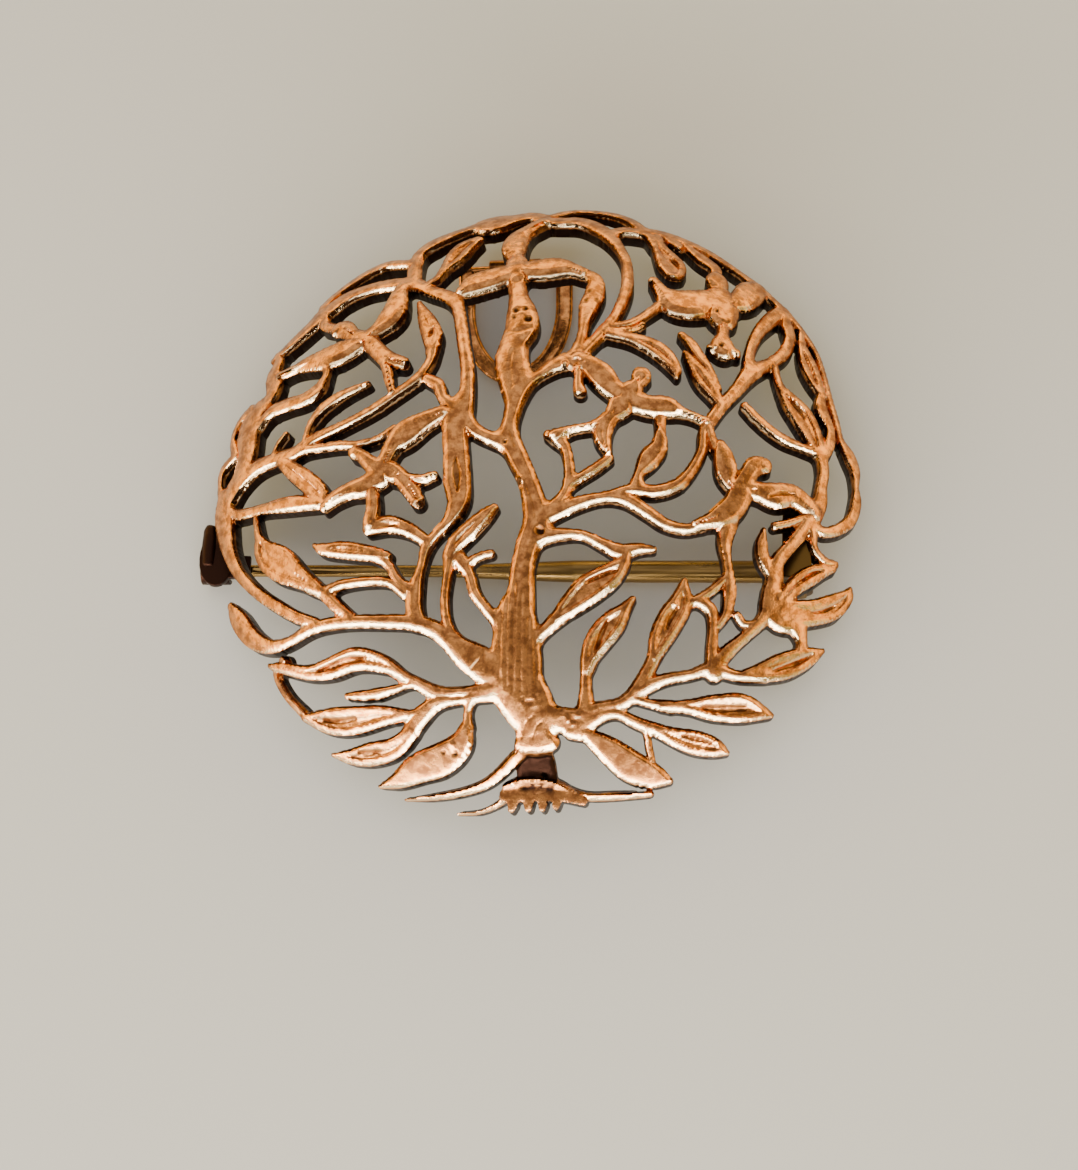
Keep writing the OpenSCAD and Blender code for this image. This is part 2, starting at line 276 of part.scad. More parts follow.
// The doves, each with a body from head to tail and two wings
DOVES = [
    [[-13.4, 12.5, 1.0], [-12.7, 12.1, 1.3], [-11.9, 11.3, 0.9], [-10.9, 10.6, 1.1], [-10.0, 9.5, 1.0],
     [-9.1, 8.5, 1.0], [-8.0, 7.95, 0.7]],
    [[-9.4, 8.7, 0.7], [-9.1, 7.8, 0.6], [-8.9, 6.9, 0.5], [-8.6, 5.8, 0.3]],
    [[-10.7, 10.9, 0.9], [-9.8, 11.7, 1.9], [-9.55, 12.8, 1.5], [-9.5, 14.0, 0.9], [-9.4, 15.0, 0.5]],
    [[-11.3, 10.4, 1.1], [-12.8, 10.2, 1.8], [-14.0, 10.1, 1.7], [-15.4, 10.2, 1.1], [-16.6, 10.1, 0.5],
     [-17.8, 10.0, 0.5]],
    [[-11.0, 2.0, 0.7], [-10.4, 1.6, 0.7], [-9.7, 0.9, 1.0], [-8.8, 0.4, 1.4], [-7.9, -0.1, 1.0],
     [-7.2, -0.9, 1.0], [-6.7, -1.8, 0.8]],
    [[-7.6, -0.3, 0.7], [-6.5, -0.5, 0.6], [-5.6, -0.3, 0.4]],
    [[-8.9, 0.9, 0.9], [-8.3, 2.0, 1.1], [-7.5, 2.7, 1.7], [-6.4, 3.3, 1.3], [-5.2, 3.8, 0.9]],
    [[-9.2, 0.0, 1.3], [-10.2, -0.4, 1.3], [-11.2, -0.5, 1.0], [-12.3, -0.8, 0.8], [-13.1, -1.3, 0.5]],
    [[-9.7, -0.8, 0.8], [-9.6, -1.8, 0.8], [-9.8, -2.8, 0.9]],
    [[-0.9, 13.6, 0.5], [-0.95, 14.5, 1.6], [-1.0, 15.5, 1.4], [-1.15, 16.4, 1.0], [-1.35, 17.5, 1.6],
     [-1.1, 18.7, 1.4], [-0.4, 19.8, 0.9], [0.4, 20.7, 0.9]],
    [[-1.2, 14.9, 1.2], [-2.5, 14.7, 1.5], [-3.5, 14.5, 1.8], [-4.5, 13.7, 0.8]],
    [[-0.7, 14.9, 1.2], [0.6, 15.1, 1.7], [1.6, 15.3, 1.6], [2.6, 15.1, 0.8], [3.3, 14.7, 0.8]],
    [[7.1, 6.1, 1.1], [6.85, 5.5, 0.8], [6.4, 4.8, 1.4], [5.9, 4.0, 1.5], [5.3, 3.2, 0.9],
     [4.8, 2.5, 1.1], [4.7, 1.7, 1.0], [5.0, 0.7, 0.4]],
    [[4.9, 2.7, 0.8], [3.9, 2.4, 0.45], [2.9, 2.2, 0.45], [1.9, 1.8, 0.8]],
    [[6.4, 4.3, 1.3], [7.5, 4.0, 1.3], [8.6, 4.0, 1.3], [9.5, 3.75, 0.6], [10.4, 3.5, 0.4], [11.1, 3.2, 0.5]],
    [[3.2, 7.2, 0.9], [3.9, 6.7, 1.2], [4.6, 6.0, 1.6], [5.2, 5.2, 1.3], [5.9, 4.6, 1.2]],
    [[12.3, 15.7, 1.0], [12.2, 14.8, 1.0], [12.2, 13.8, 1.6], [12.2, 12.6, 2.0], [12.2, 11.6, 1.2],
     [12.3, 10.5, 0.8], [12.3, 9.6, 1.3], [12.3, 9.0, 1.8]],
    [[11.8, 13.0, 2.0], [10.6, 12.5, 2.3], [9.4, 12.4, 2.1], [8.6, 13.1, 1.1], [8.0, 14.2, 0.6]],
    [[12.6, 13.2, 1.0], [13.6, 13.2, 0.8], [14.1, 14.0, 1.4], [14.6, 14.9, 1.6], [15.2, 15.7, 0.9]],
    [[14.9, 0.7, 0.9], [14.3, 0.6, 1.2], [13.7, -0.2, 1.1], [13.3, -1.2, 1.5], [12.9, -2.1, 1.5],
     [12.2, -2.8, 1.4], [11.3, -3.3, 0.9], [10.4, -3.6, 0.5]],
    [[12.0, 1.7, 0.6], [12.2, 0.9, 1.2], [12.35, 0.0, 1.4], [12.5, -0.7, 0.9], [13.0, -1.2, 0.8]],
    [[13.6, -1.0, 1.0], [14.6, -1.1, 1.2], [15.6, -1.2, 1.6], [16.7, -1.0, 1.4], [17.6, -1.4, 1.2],
     [18.4, -1.9, 0.8]]];

// The grooves and slits along the leaves, as limbs of their own
GROOVES = [
    [[-10.7, -11.15, 0.3], [-12.2, -11.2, 0.45], [-14.2, -11.65, 0.3]],
    [[-11.9, -14.9, 0.3], [-13.2, -14.95, 0.4], [-14.3, -14.8, 0.3]],
    [[-10.3, -17.1, 0.2], [-11.2, -17.15, 0.35], [-12.0, -17.1, 0.25]],
    [[-4.25, 0.7, 0.2], [-4.2, -0.3, 0.6], [-4.1, -1.5, 0.2]],
    [[4.05, -11.6, 0.2], [4.4, -10.6, 0.35], [4.9, -9.6, 0.25]],
    [[8.5, -10.1, 0.2], [8.8, -9.4, 0.35], [9.2, -8.8, 0.25]],
    [[3.7, -7.3, 0.25], [4.6, -6.9, 0.3], [5.5, -6.6, 0.2]],
    [[10.9, -14.9, 0.3], [12.2, -14.95, 0.5], [13.7, -14.9, 0.4]],
    [[15.7, -12.4, 0.2], [16.8, -12.0, 0.35], [18.0, -11.5, 0.2]],
    [[9.6, -16.7, 0.2], [10.5, -16.9, 0.3], [11.5, -17.2, 0.2]],
    [[-5.1, 17.8, 0.2], [-5.35, 17.3, 0.3], [-5.7, 16.8, 0.2]],
    [[-6.2, 10.5, 0.2], [-6.3, 10.2, 0.3], [-6.4, 9.8, 0.2]],
    [[9.2, 16.9, 0.2], [9.5, 16.5, 0.35], [9.8, 16.0, 0.25]],
    [[16.9, 6.0, 0.2], [17.4, 5.4, 0.35], [17.9, 4.8, 0.2]],
    [[17.5, -6.5, 0.2], [18.2, -6.0, 0.35], [19.0, -5.7, 0.2]],
    [[18.2, -8.5, 0.2], [19.1, -8.3, 0.3], [19.9, -7.9, 0.2]],
    [[-9.5, -3.2, 0.2], [-8.8, -3.15, 0.3], [-8.0, -3.2, 0.2]],
    [[15.2, -1.4, 0.2], [16.0, -1.1, 0.35], [16.9, -1.0, 0.25]]];

// A point of the dome's skin, brought down to the plan
function plan(p) =
    let (far = norm([p[ACROSS], p[UP]]), turn = far / skin_r * 180 / PI)
    far < 0.001 ? [0, 0] : skin_r * sin(turn) / far * [p[ACROSS], p[UP]];

// The unit vector across a run at station i
function side_way(run, i) =
    let (a = run[max(i - 1, 0)], b = run[min(i + 1, len(run) - 1)])
    let (way = [b[ACROSS] - a[ACROSS], b[UP] - a[UP]])
    [-way[1], way[0]] / norm(way);

function edge_point(run, i, side) =
    [run[i][ACROSS], run[i][UP]] + side_way(run, i) * side * run[i][WIDE] / 2;

// One limb of the pattern, in plan, wider or narrower by grow, with rounded tips
module limb(stations, grow = 0) {
    run = [for (s = stations) [s[ACROSS], s[UP], max(s[WIDE] + 2 * grow, least_w)]];
    for (i = [0 : len(run) - 2])
        polygon([for (q = [[i, 1], [i + 1, 1], [i + 1, -1], [i, -1]]) plan(edge_point(run, q[0], q[1]))]);
    for (tip = [run[0], run[len(run) - 1]])
        polygon([for (a = [0 : 45 : 315]) plan([tip[ACROSS], tip[UP]] + tip[WIDE] / 2 * [cos(a), sin(a)])]);
}

module limbs(table, grow = 0) {
    offset(delta = weld)
        for (stations = table)
            limb(stations, grow);
}

// A plan pattern raised from the casting's back to above its crown
module upright() {
    translate([0, 0, back_z])
        linear_extrude(dome_rise + rim_h + 2 * relief_h)
            children();
}

// The space between two skins of the dome
module skin_shell(outer_r, inner_r) {
    translate([0, 0, skin_z])
        difference() {
            sphere(r = outer_r, $fn = 180);
            sphere(r = inner_r, $fn = 180);
        }
}

// The trunk, boughs, leaves and doves of even thickness
module pierced_skin() {
    intersection() {
        skin_shell(skin_r, skin_r - wall_t);
        upright()
            limbs(concat(TRUNK, LOW_BOUGHS, CROWN_BOUGHS, ROOTS, LEAVES, DOVES));
    }
}

// What stands proud of them: the trunk and the doves
module relief() {
    intersection() {
        skin_shell(skin_r + relief_h, skin_r - wall_t / 2);
        upright()
            limbs(concat(TRUNK, DOVES), -relief_inset);
    }
}

module leaf_grooves() {
    intersection() {
        skin_shell(skin_r + relief_h, skin_r - groove_d);
        upright()
            limbs(GROOVES);
    }
}

// The pin's own frame: X along the pin from the catch to the hinge, Z = 0 at its middle
module at_pin() {
    translate([0, -pin_y, pin_z])
        rotate([0, 0, -pin_turn])
            children();
}

// A round bar along Y, centred on the origin
module cross_bar(r, length) {
    rotate([90, 0, 0])
        cylinder(r = r, h = length, center = true, $fn = 48);
}

// A round bar along X from x = a to x = b, whose radius may change on the way
module tapered_bar(r1, r2, a, b) {
    translate([a, 0, 0])
        rotate([0, 90, 0])
            cylinder(r1 = r1, r2 = r2, h = b - a, $fn = 48);
}

module long_bar(r, a, b) {
    tapered_bar(r, r, a, b);
}

// The seat under the boughs and the two ears that hold the pin's knuckle
module pin_hinge() {
    at_pin()
        translate([hinge_x, 0, 0])
            difference() {
                union() {
                    translate([-ear_w / 2, seat_y[0], seat_z - pin_z])
                        cube([ear_w, seat_y[1] - seat_y[0], seat_t]);
                    for (side = [-1, 1])
                        translate([0, side * (knuckle_w / 2 + side_gap + ear_t / 2), 0]) {
                            cross_bar(pin_z, ear_t);
                            translate([-ear_w / 2, -ear_t / 2, 0])
                                cube([ear_w, ear_t, seat_z - pin_z + seat_t / 2]);
                        }
                }
                cross_bar(rivet_r + bore_gap, 3 * knuckle_w);
            }
}

// The hook round the pin, open below so that the pin can swing down out of it, with its foot and lug
module pin_catch() {
    foot_z = back_z - pin_z - catch_foot_t / 2;
    at_pin()
        difference() {
            union() {
                long_bar(pin_z, catch_x[0], catch_x[1]);
                translate([catch_x[0], -pin_z, foot_z])
                    cube([catch_foot_x - catch_x[0], 2 * pin_z, catch_foot_t]);
                translate([catch_x[0] + catch_lug_r, catch_lug_y / 2, foot_z + catch_foot_t / 2])
                    cross_bar(catch_lug_r, catch_lug_y);
            }
            long_bar(catch_bore_r, catch_x[0] - 1, catch_foot_x + 1);
            translate([catch_x[0] - 1, -catch_mouth_w / 2, -2 * pin_z])
                cube([catch_foot_x - catch_x[0] + 2, catch_mouth_w, 2 * pin_z]);
        }
}

// The tube in which the bail's bar turns, and its strut
module bail_tube() {
    translate([0, bail_y, bail_z])
        difference() {
            union() {
                long_bar(bail_z, bail_x - bail_tube_w / 2, bail_x + bail_tube_w / 2);
                translate([strut_x[0], -strut_t / 2, 0])
                    cube([strut_x[1] - strut_x[0], strut_t, strut_top - bail_z]);
            }
            long_bar(bail_bar_r + bore_gap, bail_x - bail_tube_w, bail_x + bail_tube_w);
        }
}

module tree_casting() {
    color("peru")
        union() {
            difference() {
                union() {
                    pierced_skin();
                    relief();
                }
                leaf_grooves();
            }
            pin_hinge();
            pin_catch();
            bail_tube();
        }
}

module pin_stem() {
    color("goldenrod")
        at_pin()
            difference() {
                union() {
                    translate([hinge_x, 0, 0])
                        cross_bar(knuckle_r, knuckle_w);
                    long_bar(pin_thick_r, stem_thick_end, hinge_x - rivet_r - 2 * bore_gap);
                    tapered_bar(pin_slim_r, pin_thick_r, stem_slim_start, stem_thick_end);
                    long_bar(pin_slim_r, stem_slim_end, stem_slim_start);
                    tapered_bar(stem_point_r, pin_slim_r, stem_point, stem_slim_end);
                }
                translate([hinge_x, 0, 0])
                    cross_bar(rivet_r + bore_gap, 2 * knuckle_w);
            }
}

module hinge_rivet() {
    length = knuckle_w + 2 * (side_gap + ear_t + bore_gap);
    color("goldenrod")
        at_pin()
            translate([hinge_x, 0, 0]) {
                cross_bar(rivet_r, length + rivet_head_t);
                for (side = [-1, 1])
                    translate([0, side * (length + rivet_head_t) / 2, 0])
                        cross_bar(rivet_head_r, rivet_head_t);
            }
}

// Half an ellipse at the bail's free end, and straight sides from it up to the hinge
module bail_outline(inset) {
    half_w = bail_half_w - inset;
    bend_y = bail_y - bail_len + bail_bend_len;
    polygon([for (a = [180 : 15 : 360]) [half_w * cos(a), bend_y + (bail_bend_len - inset) * sin(a)],
             [half_w, bail_y], [-half_w, bail_y]]);
}

module bail() {
    color("peru")
        translate([bail_x, 0, bail_z]) {
            translate([0, 0, -bail_band_t / 2])
                linear_extrude(bail_band_t)
                    difference() {
                        union() {
                            bail_outline(0);
                            for (side = [-1, 1])
                                translate([side * (bail_half_w - bail_band_w / 2), bail_y])
                                    circle(r = bail_band_w / 2, $fn = 32);
                        }
                        bail_outline(bail_band_w);
                    }
            translate([0, bail_y, 0])
                long_bar(bail_bar_r, bail_band_w - bail_half_w - 0.2, bail_half_w - bail_band_w + 0.2);
        }
}

tree_casting();
pin_stem();
hinge_rivet();
bail();
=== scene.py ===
# Tree of life brooch: a domed, pierced copper casting with six doves, a hinged pin and a fold-down bail.
import json
import math

import bmesh
import bpy
import numpy as np
from bpy.props import FloatProperty, FloatVectorProperty, PointerProperty
from mathutils import Matrix, Vector, noise


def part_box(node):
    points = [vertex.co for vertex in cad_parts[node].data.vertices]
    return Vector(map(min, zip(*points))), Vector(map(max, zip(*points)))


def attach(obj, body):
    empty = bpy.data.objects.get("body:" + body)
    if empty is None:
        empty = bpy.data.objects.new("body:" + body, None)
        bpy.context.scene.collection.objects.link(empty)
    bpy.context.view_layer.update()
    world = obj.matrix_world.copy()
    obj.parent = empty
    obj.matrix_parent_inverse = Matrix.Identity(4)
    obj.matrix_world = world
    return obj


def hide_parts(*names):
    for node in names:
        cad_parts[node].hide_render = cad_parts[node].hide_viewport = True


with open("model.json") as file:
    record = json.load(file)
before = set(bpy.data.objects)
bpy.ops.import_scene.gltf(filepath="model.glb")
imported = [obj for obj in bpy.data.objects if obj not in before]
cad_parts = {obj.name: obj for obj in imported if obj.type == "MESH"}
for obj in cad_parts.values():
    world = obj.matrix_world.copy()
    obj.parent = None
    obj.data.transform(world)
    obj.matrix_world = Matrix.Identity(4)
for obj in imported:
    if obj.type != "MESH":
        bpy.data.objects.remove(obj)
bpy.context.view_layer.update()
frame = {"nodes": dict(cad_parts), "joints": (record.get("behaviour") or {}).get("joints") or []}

bl_info = {
    "name": "Tree of life brooch",
    "version": (1, 0, 0),
    "blender": (4, 5, 0),
    "location": "View3D > Sidebar > Brooch",
    "description": "Builds the looks of a pierced copper brooch around its fixed frame",
    "category": "Add Mesh",
}

MM = 0.001

# The dome, in mm: the radius of its skin, the height of the skin's centre, the cast wall, how upright the
# wall stands, and the lowest height that the rim reaches
SKIN_R = 29.0
SKIN_Z = -18.1
WALL = 1.3
UPRIGHT = 0.7
RIM_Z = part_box("tree_casting")[0].z / MM + 1.6
# How far the chart of the pattern reaches from the crown, in mm
CHART_HALF = 23.5
# About where the viewer's eye and the two level strips of light in front are, in mm. The edges that face the
# front are leaned to mirror the low strip, and from a place in the crown on, the high one.
VIEWER = (22, -73, 204)
FRONT_LIGHT = (-85, -320, 79)
HIGH_LIGHT = (-68, -265, 200)
CROWN_UP = 5.5
# How far the edges that face away lean, and the doves' broad shoulders, in degrees
BACK_LEAN = 33.0
SHOULDER_LEAN = 12.0
# How far the tops stand above the skin, and how far the trunk swells, in mm
LEAF_TOP, FULL_LEAF_TOP, FOOT_TOP, GROUND_TOP, HOLLOW_TOP = 0.06, 0.12, 0.12, -0.5, -0.6
TRUNK_SWELL = 0.2
# How softly limbs, trunk and boughs, outlines, and tops run into each other, in mm
LIMB_BLEND, WOOD_BLEND, OUTLINE_BLEND, TOP_BLEND = 0.2, 0.4, 0.15, 0.06
# How wide the raised rim of a leaf is behind its bevel, and how deep the trough is, in mm
LEAF_RIM, TROUGH = 0.12, 0.17
# The height below the crown, in mm, from which the ground is levelled, and how steeply it is raised
LEVEL_UP, LEVEL_RISE = -18.8, 0.3
# How dark the patina lies on each place, with painted shade on edges and tops, and how much of it the polish
# and a painted highlight take away
PATINA_SHADE_AND_SHEEN = {"slits": 0.55, "bark": 0.16, "troughs": 0.3, "recess": 1.5, "edges": 0.65, "tops": 0.1,
          "ground": 0.32, "full leaves": 0.22, "south tops": 0.1, "globe": 0.22, "polish_and_highlight": -0.35}
# The rim of each top and the walls take patina and painted shade, the back patina
RIM_PATINA_AND_SHADE, WALL_PATINA_AND_SHADE, BACK_STAIN = 0.6, 9.0, 1.0
# How many triangles the casting keeps, and how strongly its back is thinned before its tops
MOST_TRIANGLES = 190000
BACK_FIRST = 0.000002
# Faces that meet at more than this angle get a crease, in degrees: on the casting, and on the fittings
CAST_CREASE, FITTING_CREASE = 35, 38
# What the fittings' unevenness is drawn from
WAVE_SEED = 3

# The soft lights: their way from the brooch, how far off, how wide and how high, in m, and their colour
LIGHTS = {"front light": ((-0.25, -0.94, 0.233), 0.34, (0.95, 0.078), (1.0, 0.95, 0.82)),
          "high light": ((-0.2, -0.78, 0.588), 0.34, (0.85, 0.05), (1.0, 0.95, 0.82)),
          "top light": ((-0.12, 0.3, 0.95), 0.6, (0.9, 0.7), (1.0, 0.97, 0.95))}
# The studio walls that glow low down behind and beside the brooch: the heights over which they end and the
# places over which they begin, both on a globe of radius 1, and the colours above and on them
WALLS_END, WALLS_BEGIN = (0.36, 0.5), (-0.55, -0.2)
AIR_COLOUR, WALL_COLOUR = (1.0, 0.93, 0.8), (1.0, 0.72, 0.2)
# The camera: its way from the brooch and how far off, in m, the height that it aims at, its sensor and its
# lens, in mm, and the shift of its frame
CAMERA_WAY, CAMERA_FAR = (0.1024, -0.3349, 0.9367), 0.22
AIM, SENSOR, LENS, FRAME_SHIFT = 2.9, 36.0, 108.65, -0.0658

# The pattern is charted on the skin of the dome, in mm from its crown. Each limb is a run of
# stations with three columns: how far across, how far up, and how wide the limb is there.
WIDE = 2

TRUNK = [
    [[0.1, -16.2, 2.4], [0.1, -15.6, 2.5], [-0.2, -14.7, 3.2], [-0.9, -13.2, 3.4], [-0.8, -11.5, 3.1],
     [-0.75, -10.0, 2.7], [-0.7, -9.0, 2.3], [-0.4, -8.0, 1.7], [-0.3, -7.0, 1.5], [-0.15, -6.0, 1.4],
     [0.2, -4.8, 1.5], [0.7, -3.6, 1.7], [0.5, -2.2, 1.4], [0.1, -0.8, 1.2], [-0.5, 0.6, 1.3],
     [-1.0, 1.9, 1.3], [-0.9, 3.0, 1.0], [-0.7, 4.2, 1.2], [-0.65, 5.6, 2.0], [-0.95, 7.2, 2.1],
     [-0.8, 8.6, 1.8], [-0.4, 9.8, 2.1], [-0.45, 11.0, 1.9], [-0.7, 12.3, 1.3], [-0.9, 13.6, 1.1]]]

# The boughs below the crown and those in it, with their twigs and loops
LOW_BOUGHS = [
    [[-4.9, 13.0, 0.8], [-4.45, 11.0, 0.7], [-4.1, 9.0, 0.7], [-3.75, 7.0, 0.75], [-3.7, 5.2, 0.9],
     [-4.2, 3.7, 1.8], [-4.35, 2.4, 1.5], [-4.25, 0.8, 1.5], [-4.2, -0.6, 1.6], [-4.1, -2.0, 1.3],
     [-4.6, -3.1, 0.8], [-5.4, -3.9, 0.6], [-6.1, -4.6, 0.7], [-6.5, -5.8, 0.45], [-6.9, -7.0, 0.8],
     [-7.1, -8.2, 1.0], [-7.0, -9.2, 1.0]],
    [[-3.9, 3.6, 1.0], [-3.1, 2.5, 0.8], [-2.1, 1.9, 0.8], [-1.2, 1.6, 1.1]],
    [[-2.4, -12.4, 2.2], [-4.0, -11.4, 1.5], [-5.4, -10.0, 1.1], [-7.0, -9.25, 0.9], [-9.2, -8.95, 0.8],
     [-12.0, -8.7, 0.75], [-14.4, -8.8, 0.7], [-16.3, -9.4, 0.6], [-18.0, -9.5, 0.9], [-19.6, -8.7, 1.4],
     [-20.7, -7.4, 1.5], [-21.4, -6.3, 0.6]],
    [[-3.0, -11.3, 0.9], [-4.4, -10.5, 0.7], [-5.0, -9.4, 0.5], [-5.1, -8.0, 0.45], [-4.85, -6.5, 0.5],
     [-4.6, -5.2, 0.9]],
    [[-1.6, -9.7, 0.9], [-2.5, -8.7, 0.6], [-3.2, -7.7, 0.6], [-3.5, -6.6, 0.6], [-4.1, -5.6, 0.9]],
    [[-3.7, -6.0, 0.5], [-3.0, -5.55, 0.4], [-2.15, -5.35, 0.4]],
    [[-2.2, -13.6, 1.2], [-4.3, -13.65, 0.7], [-5.9, -13.6, 0.9], [-7.3, -12.85, 0.65], [-8.6, -12.2, 0.7]],
    [[-6.2, -13.6, 0.8], [-7.6, -13.0, 0.35], [-9.0, -13.2, 0.5], [-10.4, -13.4, 0.7], [-12.2, -13.35, 0.4]],
    [[-2.8, -13.9, 0.7], [-4.6, -14.1, 0.5], [-6.2, -14.25, 0.9], [-7.4, -15.2, 1.0], [-8.6, -16.5, 1.0]],
    [[-6.3, -14.3, 0.7], [-7.6, -14.75, 0.5], [-9.0, -14.9, 0.8]],
    [[-3.8, -14.0, 0.6], [-4.1, -14.9, 0.4], [-4.15, -15.8, 0.6]],
    [[-7.2, -7.3, 0.8], [-8.1, -6.5, 0.5], [-8.7, -5.5, 0.5], [-9.4, -4.9, 0.8]],
    [[-7.7, -7.4, 0.6], [-8.7, -6.6, 0.5], [-10.2, -6.35, 0.5], [-12.0, -6.35, 0.55], [-13.0, -6.6, 0.7]],
    [[-11.6, -8.4, 0.7], [-12.5, -7.6, 0.8], [-13.4, -6.7, 0.8], [-14.4, -6.1, 0.9]],
    [[0.1, -10.8, 0.9], [1.0, -10.1, 0.7], [2.0, -9.2, 0.9]],
    [[1.0, -15.4, 1.6], [2.6, -15.6, 1.5], [4.0, -15.0, 1.0], [5.6, -14.6, 0.8], [6.9, -13.7, 0.9],
     [8.4, -13.1, 0.7], [10.0, -12.8, 0.6], [11.4, -12.4, 0.8], [13.2, -12.8, 0.65], [15.0, -12.6, 1.0]],
    [[2.9, -16.2, 1.1], [4.2, -15.4, 0.8], [5.4, -15.25, 0.6], [6.6, -15.8, 0.7], [8.0, -16.3, 0.8]],
    [[2.4, -16.3, 0.9], [3.6, -16.6, 0.8], [4.4, -17.1, 1.2]],
    [[7.2, -16.2, 0.4], [7.3, -17.0, 0.35], [7.5, -18.2, 0.4]],
    [[6.4, -14.3, 0.5], [7.5, -14.6, 0.5], [8.8, -14.8, 0.8]],
    [[3.3, -15.2, 1.1], [3.4, -14.2, 0.8], [3.45, -13.0, 0.6], [3.6, -12.2, 0.9]],
    [[6.6, -13.8, 0.9], [7.3, -12.6, 0.8], [7.8, -11.6, 0.8]],
    [[11.6, -12.6, 1.2], [11.4, -11.2, 0.7], [11.45, -9.8, 0.6], [11.3, -8.8, 0.7], [10.5, -8.3, 0.6],
     [9.8, -8.4, 0.7]],
    [[10.4, -8.2, 0.5], [11.3, -7.6, 0.5], [12.3, -6.7, 0.5]],
    [[12.5, -3.0, 1.2], [12.2, -4.4, 0.9], [12.3, -5.6, 0.55], [12.45, -6.6, 0.6], [12.5, -7.7, 0.8],
     [12.3, -8.9, 0.6], [11.8, -9.7, 0.4]],
    [[13.0, -9.0, 0.4], [13.5, -9.55, 0.45], [14.3, -9.5, 0.5]],
    [[1.5, -3.1, 1.0], [3.0, -2.5, 0.8], [4.6, -2.1, 0.6], [6.0, -2.15, 0.75], [7.3, -2.9, 0.7],
     [8.4, -3.6, 0.65], [9.6, -3.85, 0.6], [10.8, -3.6, 0.6]],
    [[0.9, -4.4, 1.1], [2.0, -4.35, 0.7], [3.4, -4.4, 0.5], [4.7, -5.0, 0.65], [5.7, -5.4, 0.9],
     [6.8, -5.2, 0.6], [7.7, -5.2, 0.3]],
    [[1.4, -2.9, 0.8], [2.3, -2.0, 0.6], [2.65, -1.0, 0.6], [2.6, 0.2, 0.55], [2.4, 1.1, 0.6],
     [1.9, 1.7, 0.8], [1.4, 1.95, 0.5]],
    [[2.7, -1.2, 0.7], [3.4, -0.8, 0.55], [4.3, -0.2, 0.55], [5.05, 0.4, 0.5]]]

